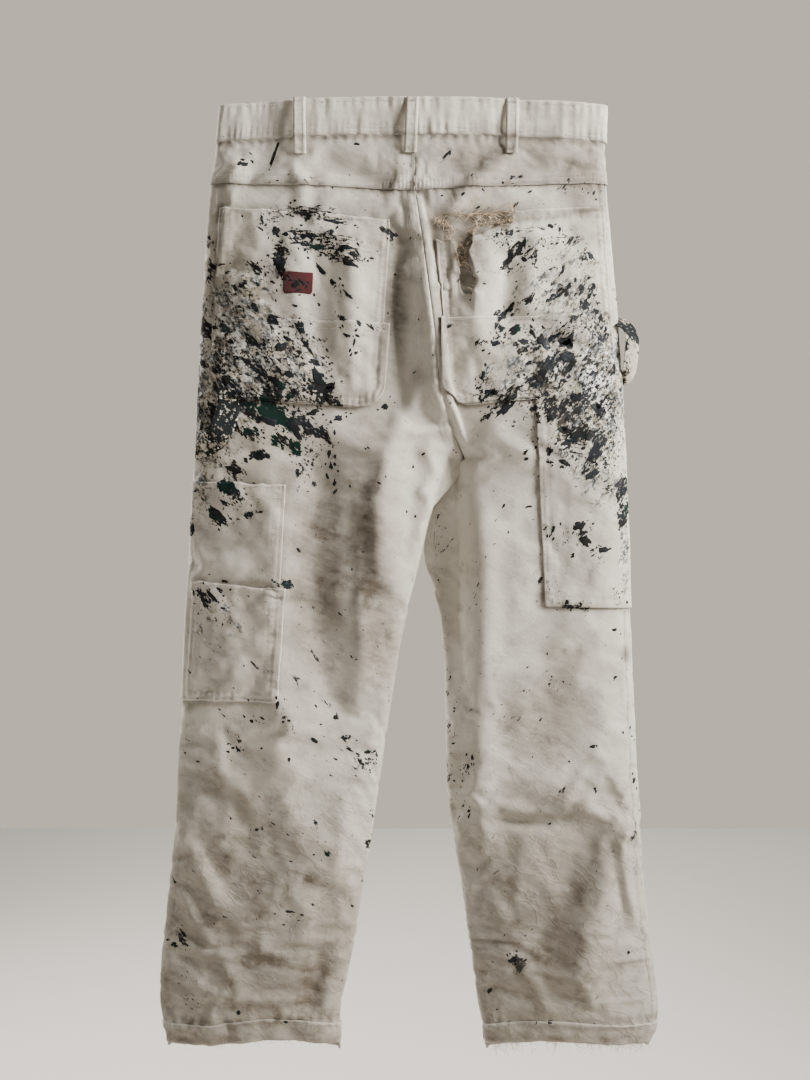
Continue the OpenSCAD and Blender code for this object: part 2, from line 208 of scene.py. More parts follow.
# Each fold is (face, height above the cloth in mm, half width in mm, [(x, z), ...] in mm).
FOLDS = [
    # the seat: a valley left of the centre seam, and the ridge that the seam lies on
    (SEAT, 8, 15, [(13, -190), (22, -262), (30, -333), (40, -370)]),
    (SEAT, -5, 11, [(-14, -150), (-18, -210), (-12, -300), (-4, -372)]),
    (SEAT, -3, 9, [(-30, -132), (-20, -152), (-12, -170)]),
    # the fold that runs from the crotch down the left thigh, and the hollow beside it
    (SEAT, 7, 15, [(20, -305), (-6, -356), (-26, -396), (-36, -450), (-30, -516), (-18, -570)]),
    (SEAT, -5, 12, [(2, -375), (6, -420), (0, -480), (-8, -530)]),
    (SEAT, 3.5, 5, [(-6, -377), (15, -373), (38, -370), (50, -374)]),
    (SEAT, 3, 5, [(16, -391), (24, -409), (29, -422)]),
    (SEAT, 4, 6, [(8, -437), (18, -444), (26, -450)]),
    # the left thigh: a ridge, a long hollow, and a ridge beside the inseam
    (SEAT, 6, 20, [(-152, -420), (-150, -540), (-148, -640), (-136, -720), (-122, -800)]),
    (SEAT, -8, 23, [(-98, -370), (-101, -460), (-103, -560), (-92, -640), (-76, -715)]),
    (SEAT, 5, 14, [(-36, -440), (-42, -520), (-50, -600), (-60, -690)]),
    (SEAT, 1.8, 5, [(-60, -430), (-57, -520), (-56, -610)]),
    # the seat: drape from the clips, and the soft ridges of the two pockets
    (SEAT, 5, 11, [(122, -56), (90, -84), (58, -112), (36, -152)]),
    (SEAT, -3, 9, [(98, -56), (62, -76), (20, -86)]),
    (SEAT, -4, 15, [(-104, -58), (-72, -88), (-18, -104)]),
    (SEAT, 3.5, 10, [(-196, -56), (-200, -120), (-212, -190)]),
    (SEAT, 3, 8, [(-134, -70), (-120, -100), (-122, -130)]),
    (SEAT, 4, 15, [(-70, -140), (-64, -220), (-62, -300), (-70, -350)]),
    (SEAT, -3.5, 16, [(-108, -150), (-104, -240), (-98, -330)]),
    (SEAT, 3, 12, [(74, -200), (72, -250), (84, -300)]),
    (SEAT, 4, 12, [(140, -150), (136, -190), (126, -250)]),
    (SEAT, -4, 12, [(106, -170), (104, -230), (108, -280)]),
    # the left shin
    (SEAT, 5, 14, [(-262, -792), (-240, -838), (-222, -872), (-190, -912), (-172, -930)]),
    (SEAT, -3, 12, [(-236, -812), (-216, -856), (-190, -896)]),
    (SEAT, 4, 18, [(-158, -706), (-150, -756), (-128, -806), (-112, -846)]),
    (SEAT, 2.5, 12, [(-258, -726), (-224, -738), (-190, -766), (-160, -806)]),
    (SEAT, -3, 20, [(-196, -760), (-176, -830), (-160, -880)]),
    (SEAT, 2.5, 10, [(-226, -880), (-214, -930), (-196, -976), (-176, -1000)]),
    (SEAT, 5, 8, [(-258, -876), (-238, -912), (-214, -944)]),
    (SEAT, 2, 9, [(-216, -700), (-206, -760), (-196, -824)]),
    (SEAT, 3, 6, [(-172, -938), (-132, -958), (-100, -950)]),
    (SEAT, 3, 5, [(-264, -930), (-222, -950), (-180, -948)]),
    (SEAT, 3, 5, [(-152, -1012), (-112, -1018), (-88, -1006)]),
    (SEAT, 3.5, 7, [(-250, -962), (-226, -990), (-170, -996), (-110, -1000)]),
    (SEAT, -6, 14, [(-86, -870), (-100, -930), (-112, -990), (-116, -1030)]),
    (SEAT, 4, 12, [(-70, -760), (-78, -830), (-88, -880)]),
    # the right leg: a soft crease down its middle, and the long fold across the shin
    (SEAT, 8, 19, [(74, -415), (77, -520), (78, -640), (76, -760), (86, -870)]),
    (SEAT, -6, 32, [(146, -410), (150, -520), (156, -640), (152, -760)]),
    (SEAT, 3, 8, [(98, -784), (140, -791), (178, -782)]),
    (SEAT, -3.5, 7, [(94, -800), (140, -807), (180, -800)]),
    (SEAT, 8, 22, [(252, -790), (230, -830), (212, -880), (198, -940), (186, -1000)]),
    (SEAT, -6, 30, [(196, -790), (172, -850), (152, -910), (140, -970)]),
    (SEAT, 4, 8, [(248, -800), (234, -826), (240, -880), (250, -930)]),
    (SEAT, -3, 7, [(222, -810), (226, -860), (236, -920)]),
    (SEAT, 3, 7, [(120, -962), (140, -985), (152, -1016)]),
    (SEAT, 3, 6, [(176, -966), (196, -990), (202, -1012)]),
    # the front
    (FLY, 8, 14, [(-20, -350), (-60, -385), (-90, -470), (-100, -560)]),
    (FLY, 8, 14, [(70, -360), (96, -400), (118, -480), (124, -560)]),
    (FLY, -7, 12, [(20, -330), (-10, -390), (-30, -450)]),
    (FLY, 5, 9, [(20, -300), (-30, -322), (-96, -330), (-150, -318)]),
    (FLY, 5, 9, [(34, -330), (80, -318), (150, -322), (196, -306)]),
    (FLY, -4, 9, [(-40, -352), (-100, -362), (-160, -350)]),
    (FLY, 5, 13, [(-196, -250), (-180, -330), (-178, -420), (-186, -520)]),
    (FLY, 5, 13, [(206, -250), (196, -340), (200, -440), (206, -540)]),
    (FLY, -6, 16, [(-140, -440), (-146, -540), (-150, -640)]),
    (FLY, -6, 16, [(160, -430), (164, -540), (162, -640)]),
    (FLY, 6, 10, [(-250, -770), (-200, -800), (-140, -815), (-90, -805)]),
    (FLY, 6, 10, [(60, -790), (110, -812), (170, -806), (236, -780)]),
    (FLY, -5, 10, [(-240, -740), (-180, -768), (-110, -772)]),
    (FLY, -5, 10, [(90, -752), (150, -770), (226, -752)]),
    (FLY, 4, 8, [(-226, -700), (-170, -716), (-112, -702)]),
    (FLY, 4, 8, [(86, -700), (150, -716), (214, -696)]),
    (FLY, 6, 14, [(-230, -860), (-190, -930), (-150, -990)]),
    (FLY, 6, 14, [(230, -870), (190, -930), (160, -1000)]),
    (FLY, -4, 12, [(-120, -850), (-126, -930), (-140, -1000)]),
    (FLY, -4, 12, [(120, -850), (118, -930), (126, -1000)]),
    (FLY, 3, 10, [(-110, -60), (-84, -120), (-40, -170)]),
    (FLY, 3, 10, [(96, -60), (70, -130), (40, -190)]),
]


def to_line(x, z, points):
    """Distance of (x, z) from a polyline, and how far along it the nearest point is, from 0 to 1."""
    best, where = np.full(np.shape(x), 1e9), np.zeros(np.shape(x))
    lengths = [math.dist(a, b) for a, b in zip(points, points[1:])]
    done, total = 0.0, sum(lengths)
    for (ax, az), (bx, bz), length in zip(points, points[1:], lengths):
        dx, dz = bx - ax, bz - az
        t = np.clip(((x - ax) * dx + (z - az) * dz) / length ** 2, 0, 1)
        d = np.hypot(x - ax - t * dx, z - az - t * dz)
        near = d < best
        best = np.where(near, d, best)
        where = np.where(near, (done + t * length) / total, where)
        done += length
    return best, where


def relief(face, x, z):
    """How far the folds raise the cloth, in mm."""
    total = 1.2 * noise_a.layers(x / 60, z / 85, 2) + 0.8 * noise_b.layers(x / 24, z / 40, 2)
    low = smooth((-z - 600) / 260)
    total = total + low * 0.7 * noise_c.layers((x + z * 0.5) / 22, (z - x * 0.5) / 60, 2)
    lean = np.where(x < 0, 0.55, -0.55)
    total = total + (0.1 + 0.6 * low) * noise_a.ridges((x + z * lean) / 34 + 9, (z - x * lean) / 95)
    total = total + (0.05 + 0.5 * low) * noise_b.ridges((x - z * lean) / 40 + 3, (z + x * lean) / 70)
    hem = smooth((-z - 880) / 110)
    pleats = noise_b.layers(x / 70, z / 9, 2) + 1.4 * noise_c.ridges(x / 80, z / 14 + 5)
    total = total + hem * pleats
    for at_face, height, width, points in FOLDS:
        if at_face == face:
            d, along = to_line(x, z, points)
            ends = smooth(np.minimum(along, 1 - along) / 0.18 + 0.15)
            total = total + height * bump(d, width) * ends
    return total


# ---------------------------------------------------------------- the cloth's surface

def edge_out(side, z):
    return table(SIDE_OUT[side], z)


def edge_in(side, face, z):
    above = table(CENTRE[face], z, reach=6)
    below = table(INSEAM[side], z, reach=6)
    return np.where(z > CROTCH - 0.01, above, below)


def x_at(side, face, s, z):
    inner = edge_in(side, face, z)
    return inner + (edge_out(side, z) - inner) * s


def across(side, face, x, z):
    """s for a place given by x."""
    inner = edge_in(side, face, z)
    return np.clip((x - inner) / (edge_out(side, z) - inner), 0, 1)


def leg_share(z):
    """0 where the section is a hip's, 1 where it is a leg's."""
    return smooth((HIP - z) / (HIP - CROTCH))


def crown(s, k):
    """Fullness of the section, 1 where it is deepest, for a hip (k = 0) or a leg (k = 1)."""
    return np.maximum(0, (1 - k) * (1 - s * s) + k * 4 * s * (1 - s)) ** 0.42


def pinch(x, z):
    grips = sum(bump(x - g, 26) for g in GRIPS)
    return 1 - 0.5 * np.clip(1 + z / 120, 0, 1) * grips


def plain_point(side, face, s, z):
    """A point of the smooth shape, in mm."""
    inner, outer = edge_in(side, face, z), edge_out(side, z)
    x = inner + (outer - inner) * s
    full = crown(s, leg_share(z))
    if face == SEAT:
        crease_x, share = table(CREASE[side], z, 1, 4), table(CREASE[side], z, 2, 4)
        past = np.clip((x - crease_x) / (outer - crease_x), 0, 1)
        beside = np.clip((x - inner) / np.where(abs(crease_x - inner) < 1, 1, crease_x - inner), 0, 1)
        creased = np.where(past > 0, 0.16 + 0.84 * crown(past, 1), 0.16 * beside)
        creased = np.where(past >= 0.5, crown(past, 1), creased)
        full = full * (1 - share) + creased * share
    depth = table(DEPTH, z) * pinch(x, z) * (1 if face == SEAT else 0.92)
    y = face * depth * full
    lean = table(INSEAM_Y[side], z) * np.where(z < CROTCH, 1, 0)
    y = y + lean * (1 - s) ** 3
    wander = 1.5 * noise_c(z / 70, 3.5 * side) * s ** 4
    return np.stack([x, y + wander, z], -1)


def folded_point(side, face, s, z):
    """A point of the shape with its large folds, in mm."""
    p = plain_point(side, face, s, z)
    x = p[..., 0]
    free = smooth(crown(s, leg_share(z)) / 0.7) * smooth((-z - 30) / 60)
    p[..., 1] += face * free * relief(face, x, z)
    if face == SEAT:
        # The right panel doubles over beside the centre seam.
        reach = smooth((-z - 105) / 70) * smooth((z - CROTCH) / 40)
        d = x - edge_in(side, face, z)
        if side == RIGHT:
            ridge = 2.5 + 3 * smooth((-z - 300) / 60)
            p[..., 1] -= reach * 8 * bump(d - ridge, 5.5)
            p[..., 0] += reach * 3.0 * bump(d - ridge - 3, 3.5)
        else:
            p[..., 1] -= reach * 7 * bump(d, 13)
    return p


S_STEPS, Z_STEPS = 48, 212
ROWS = np.linspace(0, -1062, Z_STEPS + 1)
CROTCH_ROW = int(np.argmin(abs(ROWS - CROTCH)))
ROWS[CROTCH_ROW] = CROTCH
SPREAD = np.linspace(0, 1, 400)
SPREAD_S = 0.35 * SPREAD + 0.65 * (0.5 - 0.5 * np.cos(math.pi * SPREAD))
COLUMNS = np.interp(np.linspace(0, 1, S_STEPS + 1), SPREAD, SPREAD_S)
QUARTERS = [(side, face) for side in (LEFT, RIGHT) for face in (SEAT, FLY)]


def first_shape():
    s, z = np.meshgrid(COLUMNS, ROWS)
    return {q: folded_point(*q, s, z) * MM for q in QUARTERS}


def welded(grids):
    """One list of points and quads for all four quarters, with the seams shared."""
    index, points, count = {}, [], 0
    for side, face in QUARTERS:
        ids = -np.ones((Z_STEPS + 1, S_STEPS + 1), int)
        if face == FLY:
            ids[:, -1] = index[side, SEAT][:, -1]
            ids[CROTCH_ROW:, 0] = index[side, SEAT][CROTCH_ROW:, 0]
        if side == RIGHT:
            ids[:CROTCH_ROW + 1, 0] = index[LEFT, face][:CROTCH_ROW + 1, 0]
        free = ids < 0
        ids[free] = count + np.arange(free.sum())
        points.append(grids[side, face][free])
        count += free.sum()
        index[side, face] = ids
    faces = []
    for q in QUARTERS:
        i = index[q]
        faces.append(np.stack([i[:-1, :-1], i[1:, :-1], i[1:, 1:], i[:-1, 1:]], -1).reshape(-1, 4))
    return index, np.concatenate(points), np.concatenate(faces)


GROWTH = 0.080                # how much too large the slackest cloth is for its place, so that it wrinkles
CAP = 7 * MM                  # the furthest that the simulation may move a point
FRAMES = 24
LEVELS = 20                   # steps in which a vertex group's weights are set
BAND_LOW = -46                # cloth above this height is held still, mm


def simulate(grids):
    """Blender's cloth wrinkles the shell: the cloth is a little too large for the place it hangs in."""
    index, points, faces = welded(grids)
    mesh = bpy.data.meshes.new("shell")
    mesh.from_pydata(points.tolist(), [], faces.tolist())
    shell = add_object("shell", mesh)
    z, x = points[:, 2] / MM, points[:, 0] / MM
    edge = np.zeros(len(points))
    for q in QUARTERS:
        edge[index[q][:, -1]] = 1
        edge[index[q][:, 0]] = 1
    hold = 0.22 + 0.40 * edge
    hold = np.where(z > BAND_LOW, 1.0, hold)
    slack = 0.10 + 0.20 * smooth((-z - 640) / 230) + 0.10 * noise_a(x / 90, z / 90)
    slack = slack * (1 + 0.6 * noise_b(x / 45, z / 70))
    slack = np.clip(slack, 0, 1) * smooth((BAND_LOW - z) / 40)
    for name, values in (("hold", hold), ("tight", 1 - slack)):
        group = shell.vertex_groups.new(name=name)
        for level in range(1, LEVELS + 1):
            chosen = np.nonzero(np.round(values * LEVELS) == level)[0]
            if len(chosen):
                group.add(chosen.tolist(), level / LEVELS, "REPLACE")
    cloth = shell.modifiers.new("Cloth", "CLOTH")
    settings = cloth.settings
    settings.quality = 5
    settings.mass = 0.002
    settings.tension_stiffness = settings.compression_stiffness = 40
    settings.shear_stiffness = 20
    settings.bending_stiffness = 4.0
    settings.air_damping = 2
    settings.vertex_group_mass = "hold"
    settings.pin_stiffness = 0.4
    settings.shrink_min = -GROWTH
    settings.shrink_max = 0
    settings.vertex_group_shrink = "tight"
    settings.effector_weights.gravity = 0
    cloth.collision_settings.use_collision = False
    cloth.collision_settings.use_self_collision = False
    cloth.point_cache.frame_start, cloth.point_cache.frame_end = 1, FRAMES
    scene = bpy.context.scene
    for f in range(1, FRAMES + 1):
        scene.frame_set(f)
    step = vectors(shell.evaluated_get(bpy.context.evaluated_depsgraph_get()).data) - points
    length = np.linalg.norm(step, axis=1, keepdims=True)
    step *= np.minimum(1, CAP / np.maximum(length, 1e-9))
    scene.frame_set(1)
    bpy.data.objects.remove(shell)
    bpy.data.meshes.remove(mesh)
    return {q: (points + step)[index[q]] for q in QUARTERS}


shape = first_shape()
shape = simulate(shape)


def cubic_weights(t):
    return [0.5 * (-t + 2 * t ** 2 - t ** 3), 0.5 * (2 - 5 * t ** 2 + 3 * t ** 3),
            0.5 * (t + 4 * t ** 2 - 3 * t ** 3), 0.5 * (-t ** 2 + t ** 3)]


def shell_point(side, face, s, z):
    """A point of the wrinkled cloth, in metres, between the grid's points on smooth curves."""
    grid = shape[side, face]
    s, z = np.broadcast_arrays(np.asarray(s, float), np.asarray(z, float))
    column = np.interp(s, SPREAD_S, SPREAD) * S_STEPS
    row = np.interp(-z, -ROWS, np.arange(Z_STEPS + 1))
    i = np.clip(np.floor(row).astype(int), 0, Z_STEPS - 1)
    j = np.clip(np.floor(column).astype(int), 0, S_STEPS - 1)
    wi, wj = cubic_weights(row - i), cubic_weights(column - j)
    total = 0
    for a in range(4):
        at_row = np.clip(i + a - 1, 0, Z_STEPS)
        for b in range(4):
            at_column = np.clip(j + b - 1, 0, S_STEPS)
            total = total + (wi[a] * wj[b])[..., None] * grid[at_row, at_column]
    return total


def outward(points, sign):
    """Unit normals of a grid of points."""
    return unit(np.cross(np.gradient(points, axis=1), np.gradient(points, axis=0)) * sign)


def surface(side, face, s, z):
    """Points of the wrinkled cloth and the outward direction at each, for places in any order."""
    s, z = np.broadcast_arrays(np.asarray(s, float), np.asarray(z, float))
    ds, dz = 0.004, 1.5
    du = shell_point(side, face, np.minimum(s + ds, 1), z) - shell_point(side, face, np.maximum(s - ds, 0), z)
    dv = shell_point(side, face, s, z + dz) - shell_point(side, face, s, z - dz)
    return shell_point(side, face, s, z), unit(np.cross(dv, du) * side * face)


def side_at(face, x, z):
    """Which half of the trousers a place is on."""
    return np.where(x < edge_in(LEFT, face, np.maximum(z, CROTCH)), LEFT, RIGHT)


def at_place(face, x, z, lift, side=None):
    """Points lift mm over the cloth, at places given by x and z."""
    x, z, lift = np.broadcast_arrays(np.asarray(x, float), np.asarray(z, float), np.asarray(lift, float))
    where = side_at(face, x, z) if side is None else np.full(x.shape, side)
    points = np.zeros(x.shape + (3,))
    for half in (LEFT, RIGHT):
        chosen = where == half
        if chosen.any():
            p, n = surface(half, face, across(half, face, x[chosen], z[chosen]), z[chosen])
            points[chosen] = p + n * (lift[chosen] * MM)[..., None]
    return points


# ---------------------------------------------------------------- paint, dirt and painted shade, as densities

# Each entry is (x, z, half width, half height, turn in degrees, strength), in mm.
PAINT = {
    "ink": [   # charcoal and navy splatter
        (-120, -133, 44, 9, -5, 0.66), (-106, -164, 56, 9, -9, 0.64), (-84, -178, 46, 10, -14, 0.60),
        (-146, -180, 14, 18, 0, 0.72), (-160, -140, 12, 14, 0, 0.5), (-158, -196, 20, 20, 0, 0.5),
        (-204, -216, 12, 26, 0, 0.52), (-190, -250, 26, 34, 12, 0.52), (-206, -290, 20, 60, 0, 0.66),
        (-170, -290, 34, 34, -30, 0.62), (-146, -262, 22, 20, -35, 0.55), (-150, -326, 46, 30, -35, 0.66),
        (-186, -336, 34, 26, -20, 0.64), (-124, -292, 26, 26, -35, 0.55), (-112, -330, 26, 20, -40, 0.66),
        (-106, -296, 16, 30, -35, 0.50), (-90, -338, 20, 12, -10, 0.66), (-98, -316, 14, 26, -10, 0.62),
        (-122, -274, 16, 16, -30, 0.56), (-82, -216, 18, 5, -50, 0.60), (-76, -250, 12, 6, -40, 0.58),
        (-222, -200, 8, 40, 3, 0.42), (-232, -270, 9, 70, 2, 0.62), (-236, -350, 10, 50, 0, 0.64),
        (-160, -354, 46, 14, -10, 0.78), (-122, -362, 34, 22, -40, 0.68), (-112, -404, 14, 30, -25, 0.64),
        (-140, -384, 30, 8, -55, 0.66), (-172, -376, 20, 10, -40, 0.60), (-176, -346, 30, 12, 0, 0.70),
        (-88, -394, 7, 34, 8, 0.52), (-206, -392, 30, 22, 10, 0.50), (-166, -400, 12, 8, 0, 0.62),
        (-196, -416, 22, 10, -20, 0.58), (-212, -360, 26, 34, 0, 0.72), (252, -258, 22, 13, 0, 0.85),
        (-192, -446, 30, 14, -15, 0.60), (-210, -470, 22, 16, -30, 0.55),
        (-176, -462, 12, 10, 0, 0.52), (-120, -430, 10, 26, 0, 0.40), (-138, -540, 16, 6, -20, 0.52),
        (-228, -556, 24, 12, -30, 0.55), (-200, -584, 34, 14, -25, 0.38), (-216, -620, 20, 30, 0, 0.30),
        (96, -160, 20, 14, 30, 0.50), (116, -172, 12, 10, 30, 0.58), (140, -166, 40, 16, 20, 0.44),
        (174, -158, 26, 14, 0, 0.46), (190, -182, 12, 16, 0, 0.60), (150, -200, 30, 22, 40, 0.42),
        (110, -196, 26, 10, 0, 0.52), (160, -222, 26, 20, 40, 0.50), (192, -226, 20, 26, 10, 0.50),
        (118, -236, 30, 12, 25, 0.56), (96, -268, 20, 10, 35, 0.66), (120, -284, 14, 8, -30, 0.66),
        (78, -278, 12, 6, 20, 0.62), (142, -276, 22, 16, 30, 0.62), (172, -262, 26, 18, 20, 0.56),
        (206, -262, 18, 34, 0, 0.62), (156, -310, 44, 26, 25, 0.68), (202, -312, 28, 36, 0, 0.68),
        (124, -316, 26, 14, 30, 0.55), (78, -326, 14, 22, 10, 0.60), (96, -346, 24, 9, 40, 0.68),
        (170, -346, 54, 22, 12, 0.70), (212, -350, 26, 30, 0, 0.70), (136, -344, 22, 18, 0, 0.55),
        (186, -376, 40, 20, 20, 0.66), (220, -384, 18, 22, 0, 0.66), (170, -372, 8, 8, 0, 0.72),
        (206, -408, 28, 20, 35, 0.64), (172, -396, 10, 22, 40, 0.60), (168, -412, 8, 5, 0, 0.70),
        (152, -408, 5, 8, 0, 0.66), (236, -452, 11, 34, 0, 0.68), (222, -436, 12, 16, 0, 0.58),
        (186, -486, 16, 13, 10, 0.62), (204, -506, 14, 12, 0, 0.58), (168, -492, 10, 14, 0, 0.50),
        (156, -478, 6, 14, 0, 0.45), (150, -540, 22, 10, -30, 0.50), (186, -566, 22, 8, 0, 0.50),
        (228, -552, 14, 22, 0, 0.42), (136, -380, 5, 26, 0, 0.48), (124, -384, 4, 40, 0, 0.40),
        (234, -232, 7, 110, 2, 0.48), (158, -656, 22, 24, 0, 0.34), (128, -660, 10, 10, 0, 0.40),
        (34, -620, 12, 60, 0, 0.42), (38, -740, 14, 80, 0, 0.40), (118, -960, 16, 14, -30, 0.44),
        (-252, -960, 12, 60, 10, 0.40), (-48, -738, 18, 12, 0, 0.62), (-74, -710, 12, 4, 0, 0.58),
        (-134, -690, 14, 30, 0, 0.42), (-134, -904, 10, 4, 0, 0.62), (30, -500, 8, 60, 0, 0.36),
        (62, -746, 10, 14, 0, 0.66), (-180, -700, 60, 60, 0, 0.24), (-120, -800, 60, 60, 0, 0.22),
        (176, -100, 36, 14, 0, 0.40), (120, -96, 20, 10, 30, 0.40),
        (240, -640, 8, 120, 0, 0.28), (250, -800, 8, 60, 0, 0.30), (-244, -470, 8, 40, 0, 0.36),
        (-20, -180, 200, 150, 0, 0.16), (0, -700, 280, 300, 0, 0.15),
    ],
    "brush": [   # dragged on over seams and folds
        (-112, -130, 46, 7, -6, 0.85), (-86, -141, 30, 5, -8, 0.75), (-106, -158, 54, 6, -8, 0.88),
        (-98, -171, 60, 5, -9, 0.85), (-80, -184, 36, 6, -12, 0.80), (-144, -176, 12, 24, 0, 0.80),
        (-150, -140, 10, 16, 0, 0.75), (-178, -256, 34, 6, -4, 0.55), (-130, -250, 50, 4, -4, 0.55),
        (-190, -300, 34, 30, -20, 0.45), (-160, -336, 50, 16, -12, 0.60), (-226, -420, 10, 60, 0, 0.45),
        (120, -152, 46, 5, 5, 0.65), (170, -160, 36, 6, 5, 0.55), (190, -250, 24, 6, 5, 0.66),
        (166, -262, 46, 6, 5, 0.60), (140, -330, 60, 12, 8, 0.60), (196, -346, 34, 18, 8, 0.70),
        (186, -386, 44, 20, 10, 0.60), (212, -440, 26, 30, 0, 0.45), (126, -380, 8, 60, 0, 0.45),
    ],
    "green": [
        (-158, -350, 30, 11, -12, 0.74), (-140, -362, 22, 11, -50, 0.74), (-150, -378, 14, 9, -55, 0.70),
        (-126, -392, 22, 7, -60, 0.68), (-176, -372, 10, 8, 0, 0.50),
        (-218, -338, 12, 20, 0, 0.55), (-118, -352, 14, 10, -20, 0.60), (-196, -348, 18, 8, 0, 0.52),
        (-240, -330, 5, 40, 0, 0.50), (-148, -204, 10, 14, 0, 0.55), (-166, -206, 14, 8, 0, 0.45),
        (240, -462, 7, 34, 0, 0.62), (-204, -432, 12, 8, 0, 0.45), (-200, -256, 10, 16, -30, 0.42),
    ],
    "haze": [  # wiped, half-dry paint: greys and whites over the cloth
        (-184, -236, 40, 50, 0, 0.72), (-150, -290, 60, 44, -25, 0.70), (-196, -300, 30, 70, 0, 0.88),
        (-236, -290, 10, 120, 2, 0.92), (-150, -206, 30, 24, 0, 0.45), (-120, -150, 50, 24, 0, 0.30),
        (170, -220, 56, 56, 20, 0.56), (150, -296, 80, 50, 25, 0.62), (206, -326, 34, 90, 0, 0.92),
        (190, -376, 50, 36, 0, 0.72), (238, -290, 8, 110, 2, 0.85), (-214, -356, 26, 50, 0, 0.72),
        (-176, -330, 50, 30, 0, 0.70), (-210, -580, 44, 30, 0, 0.40), (130, -160, 60, 24, 0, 0.34),
        (206, -420, 34, 36, 0, 0.50), (-230, -420, 16, 50, 0, 0.60), (236, -500, 10, 60, 0, 0.45),
    ],
    "grime_and_shade": [  # brown-grey dirt, darkened further as painted shade on the left thigh's hollow, the right yoke and the lower legs
        (58, -176, 22, 50, 0, 1.15), (76, -138, 56, 15, 4, 1.20), (36, -150, 18, 30, 0, 1.15),
        (150, -122, 70, 12, 4, 0.45), (60, -112, 70, 16, 0, 0.55), (-14, -230, 14, 120, -3, 0.85),
        (42, -250, 14, 90, -3, 0.75), (100, -300, 60, 60, 0, 0.35), (-190, -230, 40, 70, 0, 0.60),
        (-186, -190, 30, 24, 0, 0.50), (190, -300, 50, 100, 0, 0.50), (196, -150, 24, 30, 0, 0.60),
        (-60, -130, 60, 14, -5, 0.35), (-24, -140, 30, 90, 0, 0.55), (-60, -74, 60, 22, 0, 0.40),
        (100, -70, 100, 30, 0, 0.95), (190, -90, 40, 50, 0, 1.00), (-200, -80, 24, 40, 0, 0.30),
        (-98, -520, 42, 160, 0, 1.05), (-44, -520, 36, 180, 4, 1.05), (-60, -420, 60, 60, 0, 0.70),
        (-190, -480, 50, 60, 0, 0.34), (-200, -620, 40, 60, 0, 0.44), (-64, -690, 40, 80, 8, 0.42),
        (36, -560, 14, 160, 0, 0.50), (150, -560, 30, 150, 0, 0.20), (200, -460, 46, 90, 0, 0.40),
        (180, -650, 70, 60, 0, 0.34), (140, -786, 70, 36, 0, 0.85), (178, -800, 20, 40, -20, 0.90),
        (150, -870, 110, 120, 0, 0.90), (136, -960, 110, 110, 0, 1.00), (150, -1040, 160, 40, 0, 0.90),
        (-170, -870, 110, 110, -20, 0.95), (-160, -960, 130, 110, 0, 1.05), (-170, -1040, 150, 40, 0, 1.00),
        (-110, -980, 30, 60, -10, 1.25), (-150, -836, 16, 12, 0, 1.15), (-114, -866, 10, 9, 0, 1.10),
        (-210, -740, 50, 40, -10, 0.62), (-240, -800, 30, 60, 0, 0.70), (-196, -776, 50, 34, -30, 0.80),
        (210, -1000, 60, 60, 0, 0.55), (239, -619, 6, 10, 0, 0.9), (147, -553, 8, 8, 0, 0.9),
        (142, -691, 64, 60, 0, 0.75), (136, -930, 96, 130, 0, 1.02), (-176, -920, 110, 130, -10, 1.02),
        (0, -1000, 330, 170, 0, 0.84), (150, -1046, 170, 30, 0, 0.95), (-170, -1046, 170, 30, 0, 1.05),
        (-260, -1000, 40, 60, 0, 0.90), (0, -480, 300, 480, 0, 0.22), (0, -780, 320, 130, 0, 0.42),
    ],
}


# Dirt and painted shade along edges and seams of the seat side: (strength, [(x, z), ...]) in mm.
EDGE_DIRT_AND_SHADE = [
    (1.0, [(-212, -122), (-218, -214), (-223, -290), (-225, -314)]),
    (0.75, [(-214, -337), (-190, -340), (-120, -345), (-60, -349)]),
    (0.7, [(-35, -320), (-28, -250), (-23, -142)]),
    (0.9, [(25, -150), (31, -240), (37, -318)]), (0.7, [(56, -346), (120, -341), (200, -334)]),
    (0.85, [(-226, -97), (-120, -99), (5, -108), (120, -99), (216, -97)]),
    (0.9, [(-214, -50), (-120, -47), (2, -45), (120, -46), (215, -50)]),
    (0.5, [(-137, -434), (-143, -560), (-151, -672), (-252, -672)]),
    (0.45, [(-136, -541), (-240, -536)]),
    (0.75, [(135, -336), (140, -440), (148, -566), (240, -570)]),
    (0.7, [(90, -146), (150, -137), (214, -124)]),
    (0.9, [(37, -318), (44, -338), (60, -346)]), (0.6, [(-60, -349), (-42, -340), (-35, -320)]),
    (0.6, [(-280, -1024), (-76, -1022)]), (0.6, [(86, -1026), (272, -1022)]),
    (0.5, [(2, -50), (8, -150), (20, -230)]),
]
EDGE_DIRT_AND_SHADE_WIDTH = 4.0              # mm
FLY_SHARE = {"grime_and_shade": 0.8}    # how dense each kind is on the fly side, beside the seat side's
FLY_SHARE_OTHER = 0.6


def densities(face, x, z):
    """The paint densities at places given in mm."""
    found = {"edge_dirt_and_shade": np.zeros(np.shape(x))}
    for strength, points in EDGE_DIRT_AND_SHADE if face == SEAT else ():
        found["edge_dirt_and_shade"] = np.maximum(found["edge_dirt_and_shade"], strength * bump(to_line(x, z, points)[0], EDGE_DIRT_AND_SHADE_WIDTH))
    for kind, spots in PAINT.items():
        total = np.zeros(np.shape(x))
        for cx, cz, w, h, turn, strength in spots:
            c, s = math.cos(math.radians(turn)), math.sin(math.radians(turn))
            u, v = (x - cx) * c + (z - cz) * s, (z - cz) * c - (x - cx) * s
            total = np.maximum(total, strength * np.exp(-((u / w) ** 2 + (v / h) ** 2) ** 1.3 * 0.8))
        found[kind] = total if face == SEAT else total * FLY_SHARE.get(kind, FLY_SHARE_OTHER)
    return found


